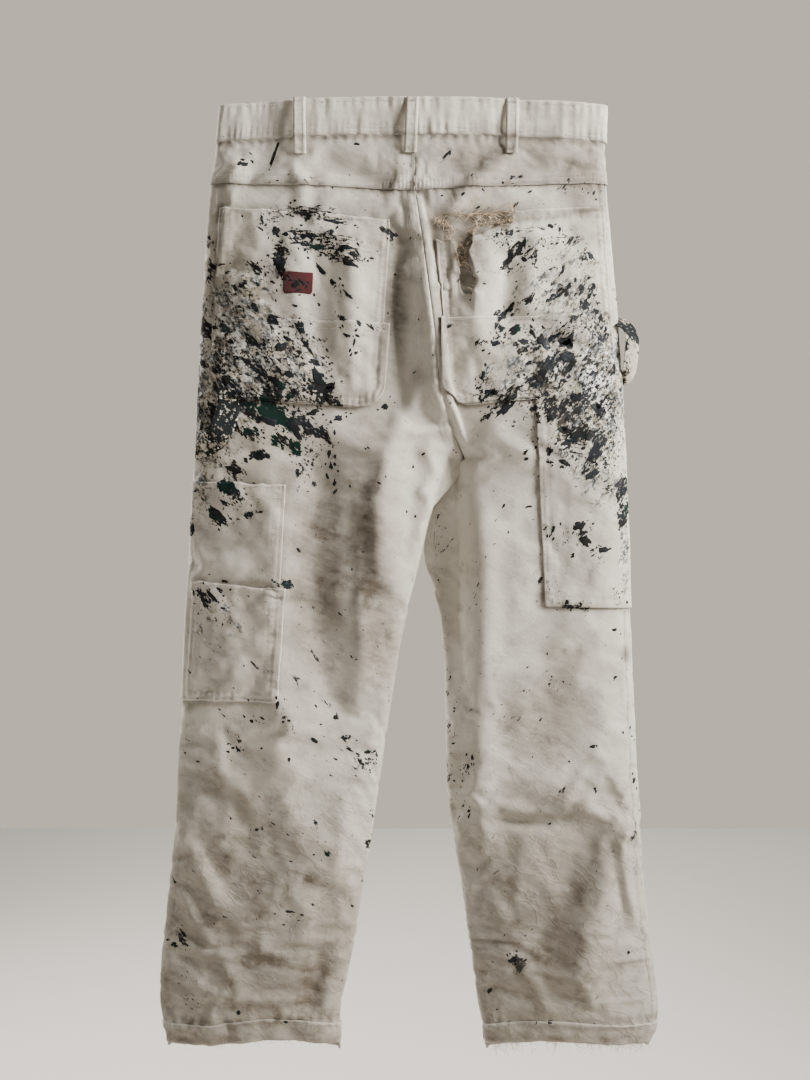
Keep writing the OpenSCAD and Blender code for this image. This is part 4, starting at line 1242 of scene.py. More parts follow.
class Patch:
    """A piece sewn flat onto a panel: four edges, corners rounded below, and a height over the cloth."""

    def __init__(self, side, face, x0, width, top, fall, height, slant, radius, lift, ply=1.5,
                 bottom_fall=None, bulge=0.0, open_top=False, pitch=7.0):
        self.side, self.face, self.x0, self.width = side, face, x0, width
        self.top_z, self.fall, self.height, self.slant = top, fall, height, slant
        self.bottom_fall = fall if bottom_fall is None else bottom_fall
        self.radius, self.lift, self.ply, self.bulge = radius, lift, ply, bulge
        self.open_top, self.pitch = open_top, pitch

    def top(self, u):
        return self.top_z + self.fall * u * self.width

    def base(self, u):
        """The lower edge, as if its corners weren't rounded."""
        return self.top_z - self.height + self.bottom_fall * u * self.width

    def bottom(self, u):
        return self.base(u) + rounded(np.minimum(u, 1 - u) * self.width, self.radius)

    def place(self, u, v):
        z = self.top(u) + (self.bottom(u) - self.top(u)) * v
        return self.x_of(u, z), z

    def x_of(self, u, z):
        return self.x0 + u * self.width + self.slant * (z - self.top_z)

    def inner(self, x, z):
        """u of a place."""
        return (x - self.slant * (z - self.top_z) - self.x0) / self.width

    def rim_distance(self, u, z):
        """Distances from the sewn edge and from the upper edge, in mm."""
        side, low, r = np.minimum(u, 1 - u) * self.width, z - self.base(u), self.radius
        corner = r - np.hypot(r - side, r - low)
        sewn = np.where((side < r) & (low < r), corner, np.minimum(side, low))
        return sewn, self.top(u) - z

    def skin(self, x, z):
        """Height of the piece's outer skin over the cloth, in mm, without its edges' rounding."""
        u = self.inner(x, z)
        sewn, upper = self.rim_distance(u, z)
        inside = smooth(sewn / 45) * (1 if self.open_top else smooth(upper / 30))
        full = self.bulge * inside * (1 + 0.5 * noise_a(x / 45, z / 45))
        along = np.where(np.minimum(u, 1 - u) * self.width < sewn + 2, z, x)
        phase = 2 * math.pi * along / self.pitch + 3 * noise_b(x / 21, z / 21)
        puckers = 0.62 * np.sin(phase) * bump(sewn - 6, 6)
        phase = 2 * math.pi * x / (self.pitch + 1.3) + 3 * noise_a(x / 21, z / 9)
        puckers += 0.3 * np.sin(phase) * bump(upper - 9, 7)
        puckers *= 0.6 + 0.5 * noise_c(along / 28, 4.4)
        roll = 0.45 * bump(sewn - 0.8, 1.8) + 0.45 * bump(upper - 1.5, 2.5)
        waves = (0.9 * noise_b(x / 22, z / 26) + 0.45 * noise_c(x / 8, z / 9)) * smooth(sewn / 8)
        if self.open_top:
            full = full + 1.2 * smooth((14 - upper) / 14) * smooth(sewn / 25)
        return self.lift + self.ply + full + puckers + grooves(sewn, (3, 10), 0.5, 1.4) + roll + waves

    def build(self, name, columns, rows, warp=None, shift=None, under=None, **more):
        """warp moves the grid's places and drops cells of it, shift adds height, and under lies below."""
        u, v = np.meshgrid(edged(columns, 0.35), edged(rows, 0.35))
        x, z = self.place(u, v)
        keep = None
        if warp:
            x, z, keep = warp(x, z)
        high = self.skin(x, z)
        if under:
            high = under.skin(x, z) + high
        if shift:
            high = high + shift(x, z)
        full = rim(np.minimum(*self.rim_distance(self.inner(x, z), z)))
        low = high - self.ply * 0.8
        middle = (high + low) / 2
        high, low = (middle + (height - middle) * full for height in (high, low))
        return add_slab(name, *skins(self.face, x, z, high, low, self.side), self.face, keep=keep, **more)

    def upper_line(self, inset):
        """Places along a seam line inset mm below the upper edge."""
        u = np.linspace(2.5, self.width - 2.5, 400) / self.width
        z = self.top(u) - inset
        return np.stack([self.x_of(u, z), z], -1)

    def sewn_line(self, inset):
        """Places along a seam line inset mm from the sewn edge."""
        r = max(self.radius - inset, 0.5)
        left, right, low = inset, self.width - inset, self.height - inset - r
        turn = np.linspace(0, math.pi / 2, 24)
        points = [(left, 2.0), (left, self.height - self.radius)]
        points += [(left + r - r * math.cos(a), low + r * math.sin(a)) for a in turn]
        points += [(right - r + r * math.sin(a), low + r * math.cos(a)) for a in turn]
        points += [(right, self.height - self.radius), (right, 2.0)]
        across, down = np.array(points).T
        u, depth = across / self.width, down / self.height
        z = self.top(u) * (1 - depth) + self.base(u) * depth
        return np.stack([self.x_of(u, z), z], -1)


POCKET_L = Patch(LEFT, SEAT, -211, 189, -124, -0.085, 211, 0.066, 30, 0.5, bulge=2.2, open_top=True,
                 bottom_fall=-0.075)
POCKET_R = Patch(RIGHT, SEAT, 26, 189, -139, 0.088, 207, -0.064, 30, 0.5, bulge=2.2, open_top=True,
                 bottom_fall=0.072)
PATCH_L = Patch(LEFT, SEAT, -209, 185, -246, -0.05, 88, 0.066, 28, 0.0, ply=0.9, bottom_fall=-0.075)
PATCH_R = Patch(RIGHT, SEAT, 28, 185, -250, 0.04, 94, -0.064, 28, 0.0, ply=0.9, bottom_fall=0.072)
TOOL = Patch(LEFT, SEAT, -241, 104, -428, -0.05, 242, 0.055, 3, 0.5, bulge=2.5, open_top=True, bottom_fall=0)
PEN = Patch(LEFT, SEAT, -240, 102, -539, -0.06, 130, 0.055, 3, 0.0, ply=1.4, bulge=1.0, open_top=True,
            bottom_fall=-0.01)
RULE = Patch(RIGHT, SEAT, 136, 98, -334, 0.0, 232, -0.05, 3, 0.4, bulge=1.6, bottom_fall=-0.03)

# The right seat pocket is torn away at its upper inner corner. The flap's edge curls outward.
TEAR = [(20, -130), (112, -118), (112, -146), (98, -147), (86, -145), (75, -150), (66, -161), (63, -176),
        (59, -188), (67, -198), (72, -210), (68, -221), (60, -225), (54, -217), (52, -196), (50, -167),
        (42, -163), (36, -166), (20, -162)]
TEAR_FLAP = [(104, -146), (86, -146), (74, -150), (66, -161), (62, -178), (66, -198), (72, -210), (68, -222)]


def inside_polygon(x, z, corners):
    inside = np.zeros(x.shape, bool)
    for (ax, az), (bx, bz) in zip(corners, corners[1:] + corners[:1]):
        if az != bz:
            crosses = (az > z) != (bz > z)
            inside ^= crosses & (x < (bx - ax) * (z - az) / (bz - az) + ax)
    return inside


def beside(values, right, down):
    """The sum of each point's neighbours along the torn edge."""
    total = np.zeros(values.shape)
    total[:, :-1] += right[:, :-1] * values[:, 1:]
    total[:, 1:] += right[:, :-1] * values[:, :-1]
    total[:-1] += down[:-1] * values[1:]
    total[1:] += down[:-1] * values[:-1]
    return total


def tear_away(x, z):
    """Which cells of the torn pocket are left, with the torn edge's points drawn into a smooth line."""
    cx, cz = ((a[:-1, :-1] + a[1:, :-1] + a[:-1, 1:] + a[1:, 1:]) / 4 for a in (x, z))
    ragged = 1.6 * noise_c(cx / 3.1, cz / 3.1) + 1.2 * noise_a(cx / 7, cz / 7)
    keep = ~inside_polygon(cx + ragged, cz - ragged, TEAR)
    wide = np.pad(keep, 1)
    corners = np.stack([wide[:-1, :-1], wide[:-1, 1:], wide[1:, :-1], wide[1:, 1:]])
    edge = corners.any(0) & ~corners.all(0)
    edge[0, :] = edge[-1, :] = edge[:, 0] = edge[:, -1] = False
    right, down = np.zeros(edge.shape), np.zeros(edge.shape)
    right[:, :-1] = wide[:-1, 1:-1] != wide[1:, 1:-1]      # the edge between a point and the next in its row
    down[:-1, :] = wide[1:-1, :-1] != wide[1:-1, 1:]
    count = beside(np.ones(x.shape), right, down)
    move = edge & (count == 2)
    for _ in range(3):
        x, z = (np.where(move, 0.5 * a + 0.5 * beside(a, right, down) / np.maximum(count, 1), a)
                for a in (x, z))
    return x, z, keep


def flap_curl(x, z):
    d, along = to_line(x, z, TEAR_FLAP)
    right_of = smooth((x - np.interp(-z, [146, 161, 178, 198, 210, 222], [100, 66, 62, 66, 72, 68]) + 1) / 3)
    curl = 7 * np.exp(-(d / 7.5)) * (0.75 + 0.5 * noise_b(x / 9, z / 9)) + 2.5 * bump(d - 16, 12)
    strip = smooth((52 - x) / 4) * smooth((z + 235) / 12)
    loose = 1.6 * strip * (1 + noise_b(x / 6, z / 12)) * smooth((x - 40) / 6)
    return curl * right_of * smooth((-z - 120) / 30) * smooth((z + 262) / 46) + loose


POCKET_L.build("seat_pocket_left", 84, 92)
POCKET_R.build("seat_pocket_right", 132, 140, warp=tear_away, shift=flap_curl)
PATCH_L.build("seat_patch_left", 72, 36, under=POCKET_L)
PATCH_R.build("seat_patch_right", 72, 38, under=POCKET_R)
TOOL.build("tool_pocket", 44, 92, body=hip_and_leg(LEFT), nodes=["tool_pocket_left"])
PEN.build("pen_pocket", 44, 52, under=TOOL, body=hip_and_leg(LEFT), nodes=["pen_pocket_left"])
RULE.build("rule_pocket", 42, 88, body=hip_and_leg(RIGHT), nodes=["rule_pocket_hip", "rule_pocket_right"])

LABEL = Patch(LEFT, SEAT, -139.5, 31, -198.5, -0.05, 23, 0.03, 3.5, 0.0, ply=0.8, bottom_fall=-0.05, pitch=3)


def label():
    u, v = np.meshgrid(np.linspace(0, 1, 33), np.linspace(0, 1, 25))
    x, z = LABEL.place(u, v)
    sewn, upper = LABEL.rim_distance(u, z)
    near = np.minimum(sewn, upper)
    full = rim(near, 0.7)
    base = POCKET_L.skin(x, z) + 0.45
    thread = 0.22 * np.sin(2 * math.pi * x / 1.1) * np.sin(2 * math.pi * z / 1.1)
    border = 0.25 * bump(near - 1.6, 0.5) * np.sin(2 * math.pi * (x + z) / 1.4)
    sheets = skins(SEAT, x, z, base + 0.5 * full + thread * 0.3 + border, base - 0.4 * full, LEFT)
    return add_slab("pocket_label", *sheets, SEAT, RED, slot="label")


label()

# ---------------------------------------------------------------- straps

STRAP_T, STRAP_CRUST = 2.0, 0.5       # its thickness, and how rough its crust of paint is, mm


def strap(name, centre, width_way, width, to_camera=False, **more):
    """A flat strap along a line of points, all in mm. width_way is the direction across it at each point,
    and its outer side can be made to look to -Y all along it."""
    out_way = unit(np.cross(width_way, unit(np.gradient(centre, axis=0))))
    if to_camera:
        out_way *= np.where(out_way[:, 1:2] > 0, -1, 1)
    rr, uu = np.meshgrid(running(centre), np.linspace(-1, 1, 11), indexing="ij")
    full = rim((1 - abs(uu)) * width / 2, 1.0)
    rough = 0.6 * noise_a(rr / 3.2, uu * width / 6.4) + 0.5 * noise_b(rr / 1.6, uu * width / 3.2)
    rough = STRAP_CRUST * rough
    ridge = 0.35 * bump(abs(uu) - 0.72, 0.1)
    flat = centre[:, None] + width_way[:, None] * (uu * width / 2)[..., None]
    top = flat + out_way[:, None] * ((STRAP_T / 2 + rough + ridge) * full)[..., None]
    bottom = flat - out_way[:, None] * ((STRAP_T / 2 + 0.3 * rough) * full)[..., None]
    return add_slab(name, top * MM, bottom * MM, SEAT, STRAP, slot="painted_strap", **more)


def hammer_loop():
    start, bend, end = np.array([-200, -326.0]), np.array([-200, -394.0]), np.array([-238, -388.0])
    t = np.linspace(0, 1, 56)[:, None]
    a, b = start + (bend - start) * t, bend + (end - bend) * t
    way = unit(b - a)
    x, z = (a + (b - a) * t).T
    t = t[:, 0]
    over = softened(at_place(SEAT, x, z, 0, LEFT)[:, 1] / MM, 4)
    bow = 2.2 + 13.5 * np.sin(math.pi * np.clip((t - 0.12) / 0.83, 0, 1))
    centre = np.stack([x, over - bow, z], -1)
    width_way = unit(np.stack([-way[:, 1], 0.25 * np.sin(math.pi * t), way[:, 0]], -1))
    return strap("hammer_loop", centre, width_way, 26, to_camera=True, body=hip_and_leg(LEFT))


def curve_through(points, n):
    """n points on a smooth curve through the given ones."""
    p = np.array(points, float)
    p = np.concatenate([[2 * p[0] - p[1]], p, [2 * p[-1] - p[-2]]])
    t = np.linspace(0, len(points) - 1 - 1e-9, n)
    i = np.floor(t).astype(int)
    w = cubic_weights(t - i)
    return sum(w[k][:, None] * p[i + k] for k in range(4))


def side_loop():
    seam = edge_out(RIGHT, -262.0)
    line = [(seam - 5, -3, -249), (seam + 4, -3, -251), (seam + 10, -4, -256), (seam + 14, -5, -266),
            (seam + 14, -5, -279), (seam + 12.5, -4, -293), (seam + 11, -3, -303), (seam + 8, -2, -310),
            (seam + 4.5, -1, -310), (seam + 3, 0, -302)]
    centre = curve_through(line, 60)
    turn = np.radians(30 + 18 * np.sin(math.pi * np.linspace(0, 1, 60)))[:, None]
    outwards = np.array([0, 1.0, 0])
    side_way = unit(np.cross(unit(np.gradient(centre, axis=0)), outwards))
    return strap("side_loop", centre, unit(outwards * np.cos(turn) + side_way * np.sin(turn)), 24)


hammer_loop()
side_loop()

# ---------------------------------------------------------------- inside: bags, fly and zip tapes

def bag(side):
    """A front pocket bag of thin cotton, with rounded lower corners and a sewn edge."""
    u, v = np.meshgrid(edged(26), edged(40))
    x_in, x_out, top, low = side * 100, side * 205, -62, -270
    d = np.minimum(u, 1 - u) * 105
    bottom = low + rounded(d, 34)
    z = top + (bottom - top) * v
    x = x_in + (x_out - x_in) * u
    inset = -5.6 - 0.5 * noise_a(x / 20, z / 25) - 0.25 * np.sin(x / 1.4) * bump(z - bottom, 12)
    full = rim(np.minimum(d, np.minimum(1 - v, v) * 200), 0.8)
    return add_slab("front_pocket_bag_" + word(side),
                    *skins(FLY, x, z, inset + 0.5 * full, inset - 0.6 * full, side),
                    FLY, POCKETING, slot="pocketing")


ZIP_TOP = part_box("zip_tape_left")[1].z
ZIP_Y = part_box("zip_tape_left")[0].y + 0.0004
ZIP_COS, ZIP_SIN = 0.99609, 0.088341  # of the zip's lean
ZIP_RIB = 1.3                         # the pitch of a tape's ribs, mm


def in_zip(x, y, z):
    """Points given in the zip's own frame, in metres: +Y out of the fly and -Z down the chain."""
    return np.stack([x + 0.003, ZIP_Y + y * ZIP_COS - z * ZIP_SIN, ZIP_TOP + y * ZIP_SIN + z * ZIP_COS], -1)


def zip_sheet(name, x0, x1, length, y, thick, material, slot, round_at=None, ribs=0.0):
    """A sheet in the zip's frame, from x0 to x1 and down from 0, with the corner at round_at rounded."""
    u, v = np.meshgrid(edged(22), edged(60))
    x = x0 + (x1 - x0) * u
    z = -length * v
    if round_at is not None:
        z = (rounded(abs(x - round_at), 0.024) - length) * v
    edge = np.minimum(np.minimum(u, 1 - u) * abs(x1 - x0), np.minimum(v, 1 - v) * length) / MM
    full = rim(edge, 0.6)
    wave = (0.12 * noise_b(x * 300, z * 120) + ribs * np.sin(x / MM * 2 * math.pi / ZIP_RIB)) * MM
    sheets = (in_zip(x, y + way * thick / 2 * full + wave, z) for way in (1, -1))
    return add_slab(name, *sheets, FLY, material, slot=slot)


def fly_facing():
    u, v = np.meshgrid(edged(20), edged(60))
    x0, x1, top, low = -35, 2, -54, -204
    x = x0 + (x1 - x0) * u
    # the edge over the zip is cut away at its lower end, which leaves the slider room
    cut = np.maximum(rounded(x - x0, 30), rounded(x1 - x, 44))
    z = top + (low + cut - top) * v
    inset = -2.8 + 0.25 * noise_a(x / 15, z / 15)
    full = 0.5 * rim(np.minimum(np.minimum(u, 1 - u) * (x1 - x0), np.minimum(v, 1 - v) * (top - low)), 0.7)
    return add_slab("fly_facing", *skins(FLY, x, z, inset + full, inset - full, LEFT), FLY)


bag(LEFT)
bag(RIGHT)
fly_facing()
zip_sheet("fly_shield", -0.026, 0.024, 0.153, -0.0046, 0.0012, CANVAS, "canvas", round_at=0.024)
zip_sheet("zip_tape_left", -0.0156, -0.0036, 0.150, 0.0, 0.0008, TAPE, "zip_tape", ribs=0.08)
zip_sheet("zip_tape_right", 0.0036, 0.0156, 0.150, 0.0, 0.0008, TAPE, "zip_tape", ribs=0.08)

# ---------------------------------------------------------------- stitching

class Thread:
    """Gathers stitches, and makes one mesh of them for each leg and its half of the hips."""

    def __init__(self):
        self.runs = {LEFT: [], RIGHT: []}

    def sew(self, side, points, out, pitch=3.1, length=0.64):
        """Stitches along a line of points in metres, out being the outward direction there. A stitch
        starts every pitch mm, and length is how much of the pitch it takes."""
        run = running(points) / MM
        count = int(run[-1] / pitch)
        if count < 2:
            return
        begin = np.arange(count) * pitch + 0.3
        at = lambda where, values: np.stack([np.interp(where, run, values[:, i]) for i in range(3)], -1)
        end = begin + pitch * length
        self.runs[side].append((at(begin, points), at(end, points), unit(at(begin, out))))

    def on(self, side, face, line, lift, free=False):
        """Stitches along a line of places. lift is a height or a function of x and z, and free lets the
        line cross the centre seam."""
        x, z = along_line(line, np.arange(0, running(np.array(line, float))[-1], 1.5))
        high = lift(x, z) if callable(lift) else np.full(x.shape, float(lift))
        a, b = (at_place(face, x, z, high + up, None if free else side) for up in (0, 2))
        self.sew(side, a, b - a)

    def build(self, side):
        points, faces = [], []
        count = 0
        for p0, p1, n in self.runs[side]:
            across, up = unit(np.cross(n, unit(p1 - p0))) * STITCH_R, n * STITCH_R
            q0, q1 = p0 + (p1 - p0) * 0.22, p0 + (p1 - p0) * 0.78
            rows = [p0 - up * 0.6]
            rows += [q + way for q in (q0, q1) for way in (across, up, -across)] + [p1 - up * 0.6]
            points.append(np.stack(rows, 1).reshape(-1, 3))
            ids = count + np.arange(len(p0))[:, None] * 8
            for f in STITCH_FACES:
                faces += (ids + np.array(f)).tolist()
            count += 8 * len(p0)
        name = "stitching_" + word(side)
        obj = finish_mesh(name, np.concatenate(points), faces, THREAD, SEAT, folds=False)
        return follow(name, obj, hip_and_leg(side), [])


# A stitch: its two ends are points 0 and 7, and two triangles stand between them.
STITCH_FACES = ((0, 1, 2), (0, 2, 3), (0, 3, 1), (7, 5, 4), (7, 6, 5), (7, 4, 6),
                (1, 4, 5, 2), (2, 5, 6, 3), (3, 6, 4, 1))
STITCH_R = 0.34 * MM
YOKE_LIFT, ON_LIFT = 1.45, 0.15       # heights of stitches over the cloth and over a pocket's skin, mm

thread = Thread()


def sew_band_and_legs(side):
    s = np.linspace(0.01, 0.985, 160)
    for face in (SEAT, FLY):
        for z in (-6 * s * s - 4.5, band_bottom(s) + 4.0, band_bottom(s) + 9.0):
            thread.on(side, face, np.stack([x_at(side, face, s, z), z], -1), 1.3, free=True)
    for rise in (2.6, 8.6):
        z = yoke_seam(s) + rise
        thread.on(side, SEAT, np.stack([x_at(side, SEAT, s, z), z], -1), YOKE_LIFT, free=True)
    s = np.linspace(0.01, 0.99, 90)
    for face in (SEAT, FLY):
        z = hem_line(side, face, s) + HEM_H - 3.2
        thread.on(side, face, np.stack([x_at(side, face, s, z), z], -1), 1.9)
    # the felled side seam, on the back
    z = np.linspace(-56, -1028, 400)
    for inset in SIDE_SEAM_ROWS:
        thread.on(side, SEAT, np.stack([edge_out(side, z) - side * inset, z], -1), 0.3)
    # the inseam, on the front
    z = np.linspace(-412, -1030, 300)
    thread.on(side, FLY, np.stack([edge_in(side, FLY, z) + side * 4, z], -1), 0.3)


def sew_pockets():
    for patch, insets in ((POCKET_L, (4, 34, 40)), (POCKET_R, (4, 11)), (TOOL, (4, 16)), (RULE, ())):
        lift = lambda x, z: patch.skin(x, z) + ON_LIFT
        for inset in (3, 10):
            line = patch.sewn_line(inset)
            if patch is POCKET_R:             # the torn edge has none
                line = line[(line[:, 1] < -166) | (line[:, 0] > 60)]
            thread.on(patch.side, SEAT, line, lift)
        for inset in insets:
            line = patch.upper_line(inset)
            if patch is POCKET_R:
                line = line[line[:, 0] > 116]
            thread.on(patch.side, SEAT, line, lift)
    for patch, below in ((PATCH_L, POCKET_L), (PATCH_R, POCKET_R), (PEN, TOOL)):
        lift = lambda x, z: patch.skin(x, z) + below.skin(x, z) + ON_LIFT
        for inset in (3, 9):
            thread.on(patch.side, SEAT, patch.upper_line(inset), lift)
    for inset in (3, 10):             # lift is still the pen pocket's
        thread.on(LEFT, SEAT, PEN.sewn_line(inset), lift)


def sew_loops():
    """A row of stitches along each edge of a belt loop, and a bar tack at each of its ends."""
    for name, (x, face, lean) in LOOPS.items():
        rows = [([d], np.linspace(-2.5, -LOOP_H + 1.5, 60), {"pitch": 2.9}) for d in (-4.4, 4.4)]
        rows += [(np.linspace(-5.6, 5.6, 12), np.array([z]), {"pitch": 1.5, "length": 0.9})
                 for z in (-5.0, -6.1, -7.2, -LOOP_H + 4.5, -LOOP_H + 5.6, -LOOP_H + 6.7)]
        for ds, z, spacing in rows:
            p = np.concatenate([loop_faces[name](d, z) for d in ds])
            thread.sew(LEFT if x < 0 else RIGHT, p, np.tile([0.0, face, 0.0], (len(p), 1)), **spacing)


def sew_fly():
    """The rows of the fly's J, and those of the front pockets' openings."""
    for inset in (32, 38):
        line = [(3 - inset, z) for z in np.linspace(-50, -170, 60)]
        line += [(3 - inset + (1 - math.cos(a)) * (inset - 2), -170 - 36 * math.sin(a) * inset / 38)
                 for a in np.linspace(0, math.pi / 2, 30)]
        thread.on(LEFT, FLY, line, 0.4)
    for side in (LEFT, RIGHT):
        for inset in (2.5, 8.5):
            thread.on(side, FLY, scoop_line(side, inset), 1.9)


def scoop_line(side, inset=0.0):
    """The curved opening of a front pocket, from the band to the side seam; inset mm towards the fly."""
    a = np.linspace(0, math.pi / 2, 40)
    reach = edge_out(side, -200.0) - side * 118
    x = side * 118 + reach * (1 - np.cos(a)) - side * inset * np.cos(a)
    return np.stack([x, -48 - (150 + inset) * np.sin(a)], -1)


def scoop_edge(side):
    """The front pocket's folded edge, standing a little over the pocket's facing."""
    line, inner = scoop_line(side)[:-1], scoop_line(side, 14)[:-1]
    v = edged(10, 0.2)[None, :]
    x, z = (line[:, i:i + 1] + (inner[:, i:i + 1] - line[:, i:i + 1]) * v for i in (0, 1))
    full = rim(np.minimum(v, 1.4 - v) * 14, 1.2) * smooth((1 - v) / 0.25)
    high = 0.15 + (1.5 + 0.2 * noise_b(x / 6, z / 6)) * full
    return add_slab("front_pocket_edge_" + word(side), *skins(FLY, x, z, high, -0.4, side), FLY, nodes=[])


for side in (LEFT, RIGHT):
    scoop_edge(side)
for side in (LEFT, RIGHT):
    sew_band_and_legs(side)
# the felled seat seam
for inset in SEAT_SEAM_ROWS:
    z = np.linspace(-50, -396, 260)
    thread.on(LEFT, SEAT, np.stack([edge_in(LEFT, SEAT, z) - inset, z], -1), 0.45)
sew_pockets()
sew_loops()
sew_fly()
for side in (LEFT, RIGHT):
    thread.build(side)

# ---------------------------------------------------------------- frayed threads

JOINTS, RING = 9, 4           # points along a yarn and round it
CURL = 0.6
FOREMOST = -53.5              # no yarn stands out further than this, mm


def hairs(name, roots, ways, lengths, radii, body, seed, droop=0.5):
    """Loose yarns: thin tubes that start at roots (mm) in the given directions, curl and sag."""
    random = np.random.RandomState(seed)
    points, faces, count = [], [], 0
    sag = np.array([0, 0, -droop * 0.14])
    for root, way, length, radius in zip(roots, ways, lengths, radii):
        p, d = np.array(root, float), unit(np.array(way, float))
        line = [p]
        spin = random.uniform(-1, 1, 3) * CURL
        for _ in range(JOINTS - 1):
            d = unit(d + np.cross(spin, d) * 0.55 + sag + random.uniform(-1, 1, 3) * CURL * 0.22)
            p = p + d * length / (JOINTS - 1)
            p[1] = max(p[1], FOREMOST)
            line.append(p)
        line = np.array(line)
        along = unit(np.gradient(line, axis=0))
        side = unit(np.cross(along, np.array([0.31, 0.87, 0.38])))
        up = np.cross(side, along)
        taper = radius * np.linspace(1.0, 0.55, JOINTS)
        for k in range(RING):
            a = 2 * math.pi * k / RING
            points.append(line + (side * math.cos(a) + up * math.sin(a)) * taper[:, None])
        ids = count + np.arange(RING * JOINTS).reshape(RING, JOINTS)
        after = np.roll(ids, -1, axis=0)
        quads = np.stack([ids[:, :-1], ids[:, 1:], after[:, 1:], after[:, :-1]], -1)
        faces += quads.swapaxes(0, 1).reshape(-1, 4).tolist() + ids[:, [0, -1]].T.tolist()
        count += RING * JOINTS
    return follow(name, finish_mesh(name, np.concatenate(points) * MM, faces, FRAYED), body, [])


def tear_threads():
    random = np.random.RandomState(5)
    yarns = []

    def along(line, count, lift, way, length, radius, spread=0.8):
        x, z = along_line(line, random.uniform(0, running(np.array(line, float))[-1], count))
        x, z = x + random.uniform(-1, 1, count), z + random.uniform(-1, 1, count)
        high = lift(x, z) if callable(lift) else np.full(count, lift)
        for root in at_place(SEAT, x, z, high, RIGHT) / MM:
            yarns.append((root, np.array(way) + random.uniform(-spread, spread, 3),
                          random.uniform(*length), random.uniform(*radius)))

    skin = lambda x, z: POCKET_R.skin(x, z) - 0.6 + flap_curl(x, z)
    along([(110, -146), (86, -146), (75, -150), (68, -159)], 70, skin,
          (-0.3, -0.5, 0.8), (5, 17), (0.16, 0.34))
    along([(66, -161), (62, -178), (59, -190), (67, -200), (71, -211), (67, -222)], 46, skin,
          (-0.8, -0.5, 0.1), (3, 9), (0.14, 0.26))
    along([(52, -196), (50, -168), (42, -163), (35, -165)], 44, skin, (0.2, -0.4, 0.8), (5, 16), (0.16, 0.3))
    along([(112, -122), (112, -146)], 14, skin, (-0.9, -0.3, 0.1), (5, 14), (0.16, 0.3))
    # the yarns of the torn-off hem that still lie across the gap
    along([(30, -134), (60, -136), (108, -132)], 60, 0.8, (0.9, -0.12, 0.1), (18, 46), (0.16, 0.3), 0.35)
    along([(26, -140), (44, -150), (46, -160)], 40, 1.2, (0.3, -0.5, 0.6), (8, 22), (0.16, 0.32), 0.9)
    return hairs("torn_threads", *zip(*yarns), "hips", 7)


def hem_threads(side, count, seed, longest):
    random = np.random.RandomState(seed)
    roots, ways = [], []
    for face in (SEAT, FLY):
        s = random.uniform(0.02, 0.98, count // 2)
        z = hem_line(side, face, s) + random.uniform(-0.3, 1.5, len(s))
        p, n = surface(side, face, s, z)
        for q, m in zip(p / MM + n * random.uniform(-1, 1, (len(s), 1)), n):
            roots.append(q)
            ways.append(m * 0.25 + np.array([random.uniform(-0.6, 0.6), 0, -1]))
    lengths = random.uniform(0.2, 1, len(roots)) ** 2 * longest + 2
    radii = random.uniform(0.14, 0.26, len(roots))
    return hairs("hem_threads_" + word(side), roots, ways, lengths, radii, leg(side), seed, droop=0.8)


tear_threads()
hem_threads(LEFT, 90, 3, 7)
hem_threads(RIGHT, 240, 4, 15)

# ---------------------------------------------------------------- dried drops and dabs of paint

